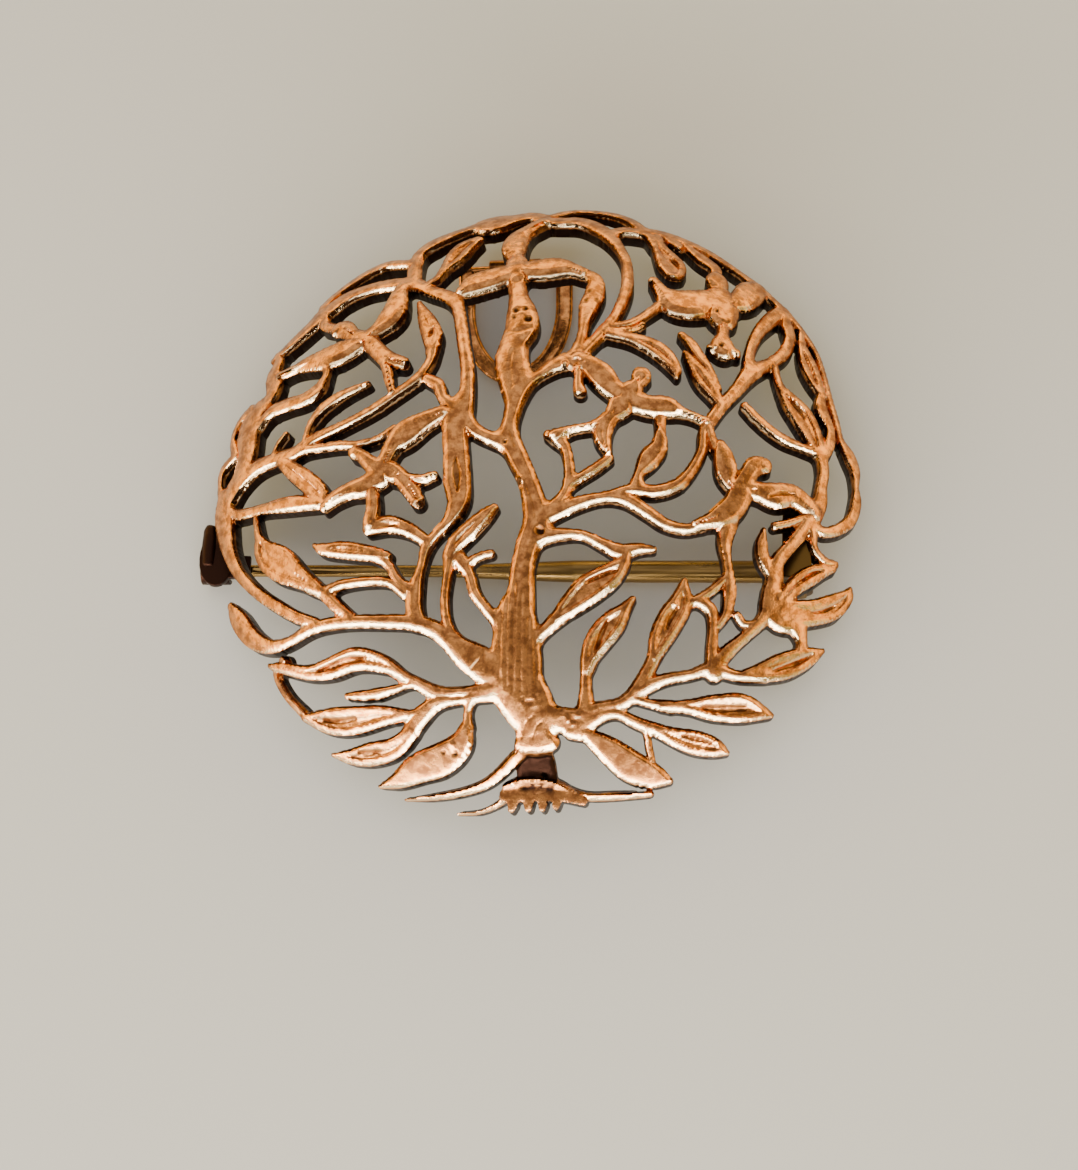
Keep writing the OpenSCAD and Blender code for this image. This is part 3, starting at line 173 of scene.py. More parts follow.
CROWN_BOUGHS = [
    [[-22.1, 1.9, 1.0], [-22.0, 0.6, 1.9], [-21.8, -0.9, 1.7], [-21.3, -2.6, 1.2], [-20.4, -4.2, 0.9],
     [-18.9, -5.7, 0.8], [-17.4, -6.8, 0.8], [-15.8, -7.8, 0.75], [-14.2, -8.5, 0.7]],
    [[-21.6, 0.4, 0.9], [-20.3, -0.05, 0.7], [-18.4, -0.2, 0.6], [-16.6, -0.35, 0.9], [-15.2, -0.5, 1.0],
     [-13.6, -0.9, 0.6]],
    [[-21.8, 1.2, 1.4], [-20.6, 2.4, 1.5], [-19.0, 3.0, 1.1], [-17.2, 3.1, 0.9], [-15.6, 3.1, 0.9],
     [-14.2, 3.7, 0.8], [-12.0, 4.2, 0.6], [-10.0, 4.85, 0.6], [-8.3, 5.75, 0.6], [-6.9, 6.7, 0.6],
     [-6.2, 7.8, 0.6], [-6.1, 9.0, 0.9]],
    [[-15.0, 3.2, 0.7], [-13.6, 3.0, 0.5], [-12.2, 2.85, 0.5], [-10.8, 2.6, 0.45], [-9.4, 2.75, 0.4],
     [-8.3, 3.3, 0.4]],
    [[-17.4, 3.4, 0.4], [-17.1, 4.1, 0.4], [-16.5, 4.7, 0.35]],
    [[-20.4, 2.8, 1.6], [-20.0, 4.3, 1.8], [-20.1, 5.8, 2.1], [-19.8, 7.2, 2.0], [-18.5, 8.2, 1.1],
     [-18.2, 9.2, 1.4], [-18.5, 10.3, 1.3], [-18.3, 11.5, 0.8], [-18.6, 12.2, 0.6]],
    [[-20.2, 8.0, 0.8], [-21.2, 7.4, 0.6], [-21.7, 6.2, 0.5], [-21.3, 4.8, 0.7]],
    [[-21.2, 4.6, 0.6], [-22.4, 3.9, 0.7], [-22.6, 2.8, 0.5], [-22.3, 1.6, 0.8]],
    [[-19.5, 6.1, 0.9], [-18.3, 7.05, 0.9], [-16.8, 7.15, 0.9], [-15.3, 7.1, 0.9], [-14.2, 7.5, 1.0],
     [-13.7, 8.4, 0.5], [-13.7, 9.2, 0.6]],
    [[-6.4, 6.6, 0.5], [-5.6, 6.0, 0.7], [-5.2, 5.0, 0.6], [-4.4, 4.2, 0.9]],
    [[-18.9, 11.9, 0.4], [-17.4, 12.8, 0.9], [-15.9, 13.9, 1.2], [-14.7, 15.0, 1.6], [-13.2, 15.7, 1.2],
     [-11.4, 15.85, 1.0], [-9.6, 15.6, 1.0], [-8.0, 15.1, 0.9], [-6.6, 14.0, 0.7], [-5.4, 13.2, 0.8],
     [-4.8, 12.4, 0.8]],
    [[-14.9, 14.4, 1.0], [-14.6, 13.4, 0.7], [-13.7, 12.7, 0.6]],
    [[-15.2, 15.6, 0.8], [-14.0, 16.8, 0.7], [-12.4, 17.8, 0.8], [-10.8, 18.3, 0.8], [-9.4, 17.9, 0.7],
     [-8.4, 17.6, 0.8]],
    [[-8.1, 15.2, 1.0], [-8.3, 17.0, 0.9], [-8.2, 18.6, 0.9], [-7.3, 19.7, 1.1], [-5.8, 20.5, 0.9],
     [-4.6, 21.0, 0.9], [-3.2, 21.2, 2.2], [-1.8, 21.6, 1.4], [-0.5, 21.9, 1.2], [0.5, 21.3, 1.2],
     [1.4, 20.9, 1.1], [2.8, 20.9, 1.2], [3.9, 20.3, 1.2], [4.9, 19.2, 1.1], [5.6, 17.8, 0.75],
     [6.1, 16.4, 0.65], [6.25, 15.0, 0.65], [6.2, 13.4, 0.7], [5.9, 12.0, 0.7], [5.4, 10.6, 0.65],
     [4.7, 9.5, 0.7], [4.0, 8.5, 0.6], [3.2, 7.6, 0.9]],
    [[1.0, 21.8, 0.6], [2.4, 22.45, 0.6], [3.8, 22.5, 0.6], [5.3, 22.2, 0.7], [6.5, 21.4, 0.8],
     [7.2, 20.4, 0.9]],
    [[5.1, 19.0, 0.8], [5.7, 19.8, 0.8], [6.7, 20.0, 0.9], [7.7, 19.7, 0.9], [8.2, 18.6, 0.9]],
    [[7.2, 20.2, 0.9], [8.8, 20.0, 0.9], [10.4, 19.4, 0.8], [12.0, 18.5, 0.7], [13.4, 17.4, 0.6],
     [14.5, 16.5, 0.6], [15.4, 15.7, 0.8], [16.3, 14.8, 0.6], [17.1, 13.9, 0.8]],
    [[8.9, 19.8, 0.8], [9.5, 19.2, 1.1], [9.8, 18.8, 0.9]],
    [[10.3, 19.2, 0.7], [10.8, 18.4, 0.9], [11.4, 17.6, 1.0], [12.2, 16.8, 0.9], [12.3, 15.9, 0.7]],
    [[3.0, 14.9, 0.8], [4.1, 14.1, 0.9], [4.15, 12.8, 1.2], [3.8, 11.5, 1.2], [3.55, 10.2, 0.7],
     [3.4, 9.0, 0.6], [3.1, 7.8, 0.8]],
    [[-0.4, 5.2, 1.0], [0.7, 6.0, 0.6], [1.8, 6.8, 0.9], [2.8, 7.2, 1.2], [3.5, 7.4, 1.0]],
    [[3.0, 7.0, 0.7], [3.2, 6.2, 0.5], [3.2, 5.4, 0.5], [3.3, 4.95, 0.7]],
    [[5.3, 9.9, 0.5], [6.5, 10.3, 0.5], [7.6, 11.3, 0.5], [8.5, 12.3, 0.6]],
    [[5.2, 9.5, 0.7], [6.4, 9.7, 0.4], [7.2, 10.2, 0.3]],
    [[9.7, 9.7, 0.4], [10.3, 9.0, 0.7], [10.8, 8.1, 0.7], [11.4, 7.2, 0.5], [11.9, 5.8, 0.5]],
    [[4.8, -2.05, 0.5], [6.4, -1.55, 0.65], [7.8, -1.6, 0.75], [9.2, -1.1, 0.7], [10.1, -0.1, 0.6],
     [10.8, 1.3, 0.6], [10.95, 2.6, 0.6], [11.5, 3.6, 0.7], [12.2, 4.7, 0.7], [13.2, 6.0, 0.75],
     [14.2, 7.5, 1.0], [15.6, 8.6, 0.7], [16.7, 9.8, 0.75], [17.25, 11.2, 0.8], [17.2, 12.4, 0.9],
     [17.3, 13.5, 0.8]],
    [[14.1, 7.4, 0.9], [14.2, 9.0, 0.65], [14.8, 10.8, 0.7], [15.7, 12.3, 0.9], [16.8, 13.7, 1.1]],
    [[11.2, 3.2, 0.5], [11.4, 2.2, 0.6], [11.7, 1.4, 0.6]],
    [[6.7, -1.3, 0.8], [6.9, -0.5, 0.6], [7.5, 0.5, 1.2], [8.1, 1.3, 1.0], [8.2, 2.3, 0.6], [8.2, 3.2, 0.6]],
    [[13.7, 4.8, 0.5], [14.4, 4.1, 0.6], [15.3, 3.4, 0.6], [16.3, 2.9, 0.6], [17.6, 2.6, 0.5],
     [18.8, 2.4, 0.8], [19.1, 1.3, 0.8], [18.9, 0.0, 0.8], [18.7, -1.2, 1.1], [18.1, -2.4, 1.1],
     [17.3, -3.4, 0.9], [16.4, -4.5, 0.8], [15.7, -5.4, 0.9], [15.5, -6.5, 1.1], [15.2, -7.8, 1.0],
     [14.9, -8.9, 0.9], [14.1, -9.8, 0.7], [13.2, -10.6, 0.7], [12.3, -11.4, 0.9], [11.7, -12.2, 0.9]],
    [[17.2, 13.9, 0.6], [18.3, 12.4, 0.5], [19.2, 10.7, 0.45], [19.6, 9.0, 0.45], [19.9, 7.0, 0.5],
     [20.3, 5.2, 0.5], [20.6, 3.8, 0.5], [21.2, 2.8, 0.9], [21.6, 1.8, 0.8], [21.6, 0.6, 0.5],
     [21.6, -0.5, 0.8], [21.2, -1.7, 0.8], [20.2, -2.6, 0.7], [19.0, -3.0, 0.6], [18.0, -2.6, 0.7]],
    [[19.3, 7.0, 0.6], [19.2, 5.8, 1.0], [19.8, 4.5, 0.8], [19.6, 3.2, 0.8], [19.0, 2.2, 0.8]],
    [[15.9, 8.6, 0.5], [16.1, 7.3, 0.5], [16.4, 6.5, 0.7]],
    [[18.2, -2.9, 0.7], [18.3, -4.2, 0.5], [19.0, -4.9, 0.5], [19.9, -5.1, 0.45]],
    [[17.7, -2.3, 0.6], [16.6, -2.75, 0.45], [15.5, -3.1, 0.4]],
    [[15.2, -7.4, 1.0], [15.9, -8.5, 2.4], [17.0, -9.2, 1.5], [17.5, -10.2, 0.8], [17.5, -11.0, 0.8]]]

# The roots, which have a wide slanted hem
ROOTS = [
    [[-0.6, -17.2, 0.8], [-1.4, -17.85, 0.8], [-2.4, -18.75, 0.75], [-3.5, -19.45, 0.7], [-5.0, -19.9, 0.6],
     [-6.8, -20.15, 0.5], [-9.0, -20.3, 0.2]],
    [[-1.9, -20.3, 0.6], [-2.9, -20.9, 0.4], [-4.0, -21.3, 0.3], [-5.4, -21.4, 0.2]],
    [[-1.9, -19.6, 0.6], [-0.9, -19.3, 0.7], [0.3, -19.35, 0.7], [1.3, -19.6, 0.7], [2.2, -20.1, 0.6],
     [3.4, -20.45, 0.6], [5.2, -20.45, 0.6], [7.4, -20.4, 0.4]],
    [[-16.9, -10.6, 0.8], [-17.7, -11.4, 0.6], [-17.1, -12.8, 0.6], [-15.9, -14.1, 0.7]]]

# The ground strip with its teeth
GROUND = [
    [[-1.9, -20.3, 1.1], [-0.2, -20.1, 1.3], [1.4, -20.2, 1.2], [3.0, -20.9, 0.5]],
    [[-1.5, -20.2, 0.7], [-1.65, -20.9, 0.6], [-1.8, -21.4, 0.3]],
    [[-0.5, -20.2, 0.7], [-0.6, -20.9, 0.6], [-0.65, -21.35, 0.35]],
    [[0.4, -20.2, 0.7], [0.35, -20.9, 0.6], [0.3, -21.35, 0.35]],
    [[1.2, -20.2, 0.7], [1.25, -20.9, 0.55], [1.2, -21.3, 0.3]]]

# The foot of the trunk, with its wide slanted hem
FOOT = [
    [[0.0, -15.6, 2.2], [0.15, -16.4, 2.3]],
    [[-0.55, -16.95, 1.3], [0.2, -17.0, 1.35], [0.95, -16.9, 1.3]]]

# The sunken floor between the foot of the trunk and the ground
HOLLOWS = [
    [[0.0, -17.2, 1.8], [0.0, -18.2, 2.4], [0.0, -19.3, 2.6]]]

# The leaves with raised rims and a trough between them
LEAVES = [
    [[-8.2, -12.3, 0.6], [-9.6, -11.5, 1.2], [-11.4, -11.1, 1.5], [-13.3, -11.5, 1.4], [-15.0, -11.6, 1.0],
     [-17.0, -11.1, 0.8], [-18.2, -10.8, 0.4]],
    [[-8.2, -14.8, 0.7], [-10.0, -14.8, 1.4], [-12.2, -14.95, 1.9], [-14.0, -14.85, 1.7],
     [-15.8, -14.5, 0.6]],
    [[-8.0, -16.0, 0.9], [-9.4, -16.9, 1.4], [-11.0, -17.2, 1.6], [-12.6, -17.3, 1.1], [-14.0, -17.1, 0.3]],
    [[-8.8, -5.0, 0.7], [-10.2, -4.6, 1.0], [-11.8, -4.2, 1.1], [-13.2, -3.95, 0.8], [-13.9, -3.6, 0.3]],
    [[-13.6, -6.5, 0.8], [-15.2, -5.4, 1.5], [-16.7, -4.3, 2.3], [-17.9, -3.4, 1.8], [-18.5, -2.2, 0.7],
     [-18.8, -0.8, 0.4]],
    [[-6.2, -4.3, 0.7], [-7.3, -3.5, 0.9], [-8.6, -3.0, 1.1], [-9.9, -3.1, 0.9]],
    [[-16.8, 2.9, 0.7], [-15.9, 2.0, 1.1], [-14.6, 0.9, 1.3], [-13.5, -0.2, 1.2], [-13.0, -1.2, 0.4]],
    [[-14.8, 3.9, 0.5], [-14.4, 5.0, 0.6], [-13.5, 5.9, 0.8], [-12.2, 6.5, 0.7], [-10.4, 6.95, 0.3]],
    [[-6.1, 8.6, 0.7], [-6.2, 9.8, 1.3], [-6.6, 11.0, 1.2], [-7.1, 12.2, 0.7], [-7.4, 13.0, 0.3]],
    [[-7.1, 14.6, 0.7], [-6.4, 15.2, 0.6], [-5.9, 16.2, 0.9], [-5.3, 17.4, 1.6], [-4.8, 18.4, 1.5],
     [-4.1, 19.1, 0.8]],
    [[-4.7, -5.4, 0.8], [-4.2, -4.6, 1.1], [-3.3, -3.8, 1.1], [-2.5, -3.1, 0.9], [-1.9, -2.6, 0.5]],
    [[1.8, -9.4, 0.8], [2.9, -8.4, 1.5], [3.9, -7.6, 1.8], [5.0, -6.9, 1.5], [5.8, -6.2, 0.9],
     [6.1, -5.5, 0.5]],
    [[3.5, -12.6, 0.7], [3.8, -11.6, 1.2], [4.4, -10.6, 1.6], [5.2, -9.7, 1.5], [5.9, -8.9, 0.8],
     [6.4, -8.3, 0.4]],
    [[7.7, -11.8, 0.8], [8.2, -10.5, 1.5], [8.8, -9.4, 1.7], [9.4, -8.4, 1.4], [9.6, -7.1, 0.4]],
    [[8.2, -14.8, 0.6], [10.0, -14.8, 1.0], [11.6, -14.85, 1.7], [13.4, -14.85, 1.9], [14.8, -15.1, 1.0],
     [15.6, -15.3, 0.3]],
    [[13.4, -12.8, 0.7], [14.8, -12.5, 1.3], [16.4, -12.0, 1.8], [17.9, -11.4, 1.4], [19.1, -10.9, 0.4]],
    [[7.4, -16.1, 0.6], [9.0, -16.7, 1.2], [10.4, -17.1, 1.6], [11.6, -17.4, 1.3], [12.6, -17.8, 0.3]],
    [[8.3, 19.4, 0.8], [8.45, 18.2, 1.1], [8.9, 17.0, 1.7], [9.2, 16.2, 2.0], [9.3, 15.6, 1.6]],
    [[5.0, 9.3, 0.7], [6.4, 9.0, 0.8], [7.7, 8.5, 1.2], [8.6, 7.8, 1.2], [9.2, 6.9, 0.8], [9.3, 6.4, 0.3]],
    [[9.9, 8.2, 0.4], [10.4, 7.3, 0.9], [11.0, 6.3, 1.3], [11.6, 5.4, 1.0], [12.0, 4.6, 0.6]],
    [[16.3, 6.7, 0.6], [16.9, 5.8, 1.4], [17.6, 5.0, 1.8], [18.2, 4.0, 1.7], [18.7, 2.9, 1.2]],
    [[18.2, 12.1, 0.4], [18.2, 10.8, 0.8], [18.5, 9.3, 1.4], [18.9, 8.1, 1.2], [19.4, 7.0, 0.6]],
    [[16.0, -7.9, 1.0], [17.0, -6.8, 1.2], [18.0, -6.1, 1.3], [19.0, -5.6, 0.9], [19.8, -5.4, 0.4]],
    [[16.6, -8.7, 1.8], [18.4, -8.4, 1.7], [19.8, -7.9, 1.7], [20.8, -7.2, 1.1], [21.1, -6.6, 0.4]],
    [[15.3, -6.3, 0.8], [14.7, -5.3, 0.9], [14.6, -4.4, 0.8], [14.75, -3.5, 0.3]]]

# The six doves, with their wings, tails and beaks
DOVES = [
    [[-13.2, 12.3, 1.1], [-12.7, 12.1, 1.2], [-11.9, 11.3, 0.9], [-10.9, 10.6, 1.1], [-10.0, 9.5, 1.0],
     [-9.1, 8.5, 1.0], [-8.0, 7.95, 0.7]],
    [[-9.4, 8.7, 0.7], [-9.1, 7.8, 0.6], [-8.9, 6.9, 0.5], [-8.6, 5.8, 0.3]],
    [[-10.7, 10.9, 0.9], [-9.9, 11.4, 1.3], [-9.25, 12.2, 1.8], [-9.05, 13.2, 1.5], [-9.0, 14.2, 1.1],
     [-8.9, 14.9, 0.8]],
    [[-11.3, 10.4, 1.1], [-12.6, 10.1, 1.7], [-14.0, 9.95, 1.6], [-15.4, 10.0, 1.0], [-16.6, 9.95, 0.5],
     [-17.8, 9.9, 0.5]],
    [[-11.0, 2.0, 0.7], [-10.4, 1.6, 0.7], [-9.7, 0.9, 1.0], [-8.8, 0.4, 1.4], [-7.9, -0.1, 1.0],
     [-7.2, -0.9, 1.0], [-6.7, -1.8, 0.8]],
    [[-7.6, -0.3, 0.7], [-6.5, -0.5, 0.6], [-5.6, -0.3, 0.4]],
    [[-8.9, 0.9, 0.9], [-8.3, 2.0, 1.1], [-7.5, 2.7, 1.7], [-6.4, 3.3, 1.3], [-5.2, 3.8, 0.9]],
    [[-9.2, 0.0, 1.3], [-10.2, -0.4, 1.3], [-11.2, -0.5, 1.0], [-12.3, -0.8, 0.8], [-13.1, -1.3, 0.5]],
    [[-9.7, -0.8, 0.8], [-9.6, -1.8, 0.8], [-9.8, -2.8, 0.9]],
    [[-0.9, 13.6, 0.5], [-0.95, 14.5, 1.6], [-1.0, 15.5, 1.4], [-1.15, 16.4, 1.0], [-1.35, 17.5, 1.6],
     [-1.1, 18.7, 1.4], [-0.4, 19.8, 0.9], [0.4, 20.7, 0.9]],
    [[-1.2, 14.7, 1.4], [-2.5, 14.35, 1.7], [-3.5, 14.05, 1.7], [-4.45, 13.4, 0.8]],
    [[-0.7, 14.9, 1.2], [0.6, 15.0, 1.7], [1.6, 15.15, 1.7], [2.6, 14.95, 1.0], [3.3, 14.6, 0.8]],
    [[7.1, 6.1, 1.1], [6.85, 5.5, 0.8], [6.4, 4.8, 1.4], [5.9, 4.0, 1.5], [5.3, 3.2, 0.9],
     [4.8, 2.5, 1.1], [4.7, 1.7, 1.0], [5.0, 0.7, 0.4]],
    [[4.9, 2.7, 0.8], [3.9, 2.4, 0.45], [2.9, 2.2, 0.45], [1.9, 1.8, 0.8]],
    [[6.4, 4.3, 1.3], [7.5, 4.0, 1.3], [8.6, 4.0, 1.3], [9.5, 3.75, 0.6], [10.4, 3.5, 0.4], [11.1, 3.2, 0.5]],
    [[3.2, 7.2, 0.9], [3.9, 6.7, 1.2], [4.6, 6.0, 1.6], [5.2, 5.2, 1.3], [5.9, 4.6, 1.2]],
    [[12.35, 15.6, 1.0], [12.35, 15.1, 1.5], [12.4, 14.3, 1.2], [12.45, 13.5, 1.9], [12.5, 12.6, 2.3],
     [12.5, 11.8, 2.0]],
    [[12.45, 11.4, 0.9], [12.5, 10.6, 0.75], [12.45, 9.9, 0.8], [12.4, 9.3, 1.3], [12.4, 9.0, 1.6]],
    [[11.6, 8.8, 0.5], [12.4, 8.85, 0.7], [13.3, 8.75, 0.5]],
    [[11.8, 13.0, 2.0], [10.6, 12.5, 2.3], [9.4, 12.4, 2.1], [8.6, 13.1, 1.1], [8.0, 14.2, 0.6]],
    [[12.8, 13.1, 1.0], [13.5, 13.3, 1.0], [14.1, 13.9, 1.7], [14.7, 14.8, 1.9], [15.2, 15.4, 1.3]],
    [[14.9, 0.7, 0.9], [14.3, 0.6, 1.2], [13.7, -0.2, 1.1], [13.3, -1.2, 1.5], [12.9, -2.1, 1.5],
     [12.2, -2.8, 1.4], [11.3, -3.3, 0.9], [10.4, -3.6, 0.5]],
    [[12.0, 1.7, 0.6], [12.2, 0.9, 1.2], [12.35, 0.0, 1.4], [12.5, -0.7, 0.9], [13.0, -1.2, 0.8]],
    [[13.6, -1.0, 1.0], [14.6, -1.1, 1.2], [15.6, -1.2, 1.6], [16.7, -1.0, 1.4], [17.6, -1.4, 1.2],
     [18.4, -1.9, 0.8]]]

# The slits along the leaves
SLITS = [
    [[-10.7, -11.15, 0.3], [-12.2, -11.2, 0.45], [-14.2, -11.65, 0.3]],
    [[-11.9, -14.9, 0.3], [-13.2, -14.95, 0.4], [-14.3, -14.8, 0.3]],
    [[-10.3, -17.1, 0.2], [-11.2, -17.15, 0.35], [-12.0, -17.1, 0.25]],
    [[-4.25, 0.7, 0.2], [-4.2, -0.3, 0.6], [-4.1, -1.5, 0.2]],
    [[4.05, -11.6, 0.2], [4.4, -10.6, 0.35], [4.9, -9.6, 0.25]],
    [[8.5, -10.1, 0.2], [8.8, -9.4, 0.35], [9.2, -8.8, 0.25]],
    [[3.7, -7.3, 0.25], [4.6, -6.9, 0.3], [5.5, -6.6, 0.2]],
    [[10.9, -14.9, 0.3], [12.2, -14.95, 0.5], [13.7, -14.9, 0.4]],
    [[15.7, -12.4, 0.2], [16.8, -12.0, 0.35], [18.0, -11.5, 0.2]],
    [[9.6, -16.7, 0.2], [10.5, -16.9, 0.3], [11.5, -17.2, 0.2]],
    [[-5.1, 17.8, 0.2], [-5.35, 17.3, 0.3], [-5.7, 16.8, 0.2]],
    [[-6.2, 10.5, 0.2], [-6.3, 10.2, 0.3], [-6.4, 9.8, 0.2]],
    [[9.2, 16.9, 0.2], [9.5, 16.5, 0.35], [9.8, 16.0, 0.25]],
    [[16.9, 6.0, 0.2], [17.4, 5.4, 0.35], [17.9, 4.8, 0.2]],
    [[17.5, -6.5, 0.2], [18.2, -6.0, 0.35], [19.0, -5.7, 0.2]],
    [[18.2, -8.5, 0.2], [19.1, -8.3, 0.3], [19.9, -7.9, 0.2]],
    [[-9.5, -3.2, 0.2], [-8.8, -3.15, 0.3], [-8.0, -3.2, 0.2]],
    [[15.2, -1.4, 0.2], [16.0, -1.1, 0.35], [16.9, -1.0, 0.25]]]

# The two plump leaves beside the roots, which have no slit
FULL_LEAVES = [
    [[-4.2, -15.6, 0.5], [-4.8, -16.9, 1.5], [-6.2, -17.8, 2.1], [-7.8, -18.3, 1.9], [-9.3, -19.0, 1.1],
     [-10.7, -19.4, 0.3]],
    [[3.4, -16.5, 0.8], [4.8, -17.5, 1.6], [6.2, -18.6, 2.0], [7.5, -19.2, 1.6], [8.7, -19.6, 0.4]]]

# Knobs and pits on the tops, each with how far across, how far up, its radius and its height
BUMPS = [
    [1.9, -15.0, 0.25, -0.1], [0.5, -19.0, 0.3, -0.25],
    [-5.3, -17.0, 0.35, 0.12], [-5.1, -17.5, 0.25, -0.15], [-5.9, -17.4, 0.2, -0.12],
    [-1.15, -21.0, 0.3, -0.4], [-0.1, -21.0, 0.25, -0.4], [0.8, -20.9, 0.25, -0.4],
    [-0.2, -1.0, 0.35, 0.15], [2.4, 6.8, 0.3, 0.25], [3.2, 6.6, 0.35, 0.25], [8.2, 2.5, 0.35, 0.2],
    [7.7, -4.4, 0.25, 0.15], [-6.7, -2.0, 0.3, 0.2], [9.1, -8.6, 0.3, 0.15], [6.8, -8.9, 0.3, 0.15],
    [12.1, -16.3, 0.3, 0.15], [12.0, -17.0, 0.3, 0.15], [14.7, -13.9, 0.3, 0.2], [-0.9, 15.2, 0.7, 0.12],
    [0.9, -4.2, 0.4, -0.25], [-1.2, 1.5, 0.25, -0.15], [-0.8, 11.2, 0.3, -0.2], [-0.2, 11.3, 0.25, -0.2],
    [0.0, 10.4, 0.35, -0.3], [-0.9, 10.6, 0.2, -0.12], [12.35, 9.15, 0.25, -0.2], [2.6, 13.2, 0.3, -0.12],
    [3.8, 12.9, 0.3, -0.12], [3.6, 12.0, 0.3, -0.12], [4.3, 12.1, 0.25, -0.1], [12.2, 12.1, 0.2, -0.15]]

# Patches that the casting left rough, with the same columns
ROUGH = [
    [-0.5, -14.6, 0.7, 0.06], [0.3, -14.5, 0.7, 0.06], [2.4, -15.6, 1.2, 0.07], [-1.2, -19.4, 1.1, 0.08],
    [0.0, -19.4, 1.2, 0.08], [1.4, -19.5, 1.0, 0.07], [5.0, 10.0, 1.3, 0.03], [-0.5, 10.8, 1.6, 0.03],
    [4.2, 12.8, 1.6, 0.05], [-1.0, 17.8, 1.4, 0.03], [14.6, 14.6, 1.3, 0.03], [-5.4, -17.4, 1.2, 0.04]]

# Low ridges on the tops
RIDGES = [
    [[1.3, -3.8, 0.15], [1.3, -4.4, 0.2], [0.9, -4.8, 0.2], [0.4, -4.5, 0.15], [0.5, -3.9, 0.15]]]

# Fine lines cut into the tops: the trunk's bark and its twist
BARK = [
    [[-1.9, -8.6, 0.2], [-2.0, -10.5, 0.25], [-2.1, -12.4, 0.2]],
    [[-1.5, -8.2, 0.2], [-1.7, -10.4, 0.25], [-1.9, -13.0, 0.2]],
    [[-1.1, -7.6, 0.15], [-1.3, -10.0, 0.2], [-1.5, -13.6, 0.2]],
    [[-0.7, -7.4, 0.15], [-0.9, -10.6, 0.25], [-1.1, -13.9, 0.2]],
    [[-0.3, -8.0, 0.15], [-0.45, -10.8, 0.2], [-0.6, -13.9, 0.15]],
    [[0.1, -9.4, 0.15], [-0.05, -11.6, 0.2], [-0.1, -14.0, 0.2]],
    [[0.4, -10.4, 0.15], [0.4, -12.0, 0.2], [0.4, -14.0, 0.15]],
    [[-1.3, 9.5, 0.2], [-0.6, 9.35, 0.3], [0.5, 9.8, 0.2]],
    [[-2.6, -10.6, 0.15], [-2.9, -11.6, 0.2], [-3.6, -12.3, 0.15]],
    [[-0.6, -16.4, 0.1], [-0.3, -15.7, 0.15], [0.1, -15.4, 0.1]],
    [[0.0, -16.7, 0.1], [0.3, -16.0, 0.15], [0.6, -15.8, 0.1]],
    [[-0.9, 7.9, 0.15], [-1.0, 6.6, 0.2], [-0.8, 5.2, 0.15]],
    [[0.0, -1.4, 0.15], [0.4, -2.6, 0.2], [0.6, -3.6, 0.15]],
    [[-0.6, 1.2, 0.15], [-0.9, 2.4, 0.2], [-0.8, 3.6, 0.15]]]


def smooth_max(a, b, blend):
    near = np.clip(blend - np.abs(a - b), 0.0, None) / blend
    return np.maximum(a, b) + near * near * blend / 4


def smooth_min(a, b, blend):
    return -smooth_max(-a, -b, blend)


def ramp(value, start, width):
    """From 0 to 1 over a width that begins at start."""
    return np.clip((value - start) / width, 0, 1)


def eased(t):
    return t * t * (3 - 2 * t)


def dot(a, b):
    return (a * b).sum(0)


def along_skin(degrees, rise):
    """The slope along the skin that makes a lean, where the dome climbs by rise towards the edge."""
    return math.tan(math.radians(degrees)) * np.sqrt(1 - rise**2) + rise


def flowing(stations, parts=5):
    """A smooth run through a limb's stations, with a few steps between each two."""
    run = np.array(stations, float)
    ends = np.vstack([2 * run[0] - run[1], run, 2 * run[-1] - run[-2]])
    steps = []
    for i in range(len(run) - 1):
        a, b, c, d = ends[i:i + 4]
        for t in np.arange(parts) / parts:
            steps.append(b + (c - a) * t / 2 + (2 * a - 5 * b + 4 * c - d) * t**2 / 2
                         + (3 * b - a - 3 * c + d) * t**3 / 2)
    steps.append(run[-1])
    steps = np.array(steps)
    steps[:, WIDE] = np.maximum(steps[:, WIDE], 0.1)
    return steps


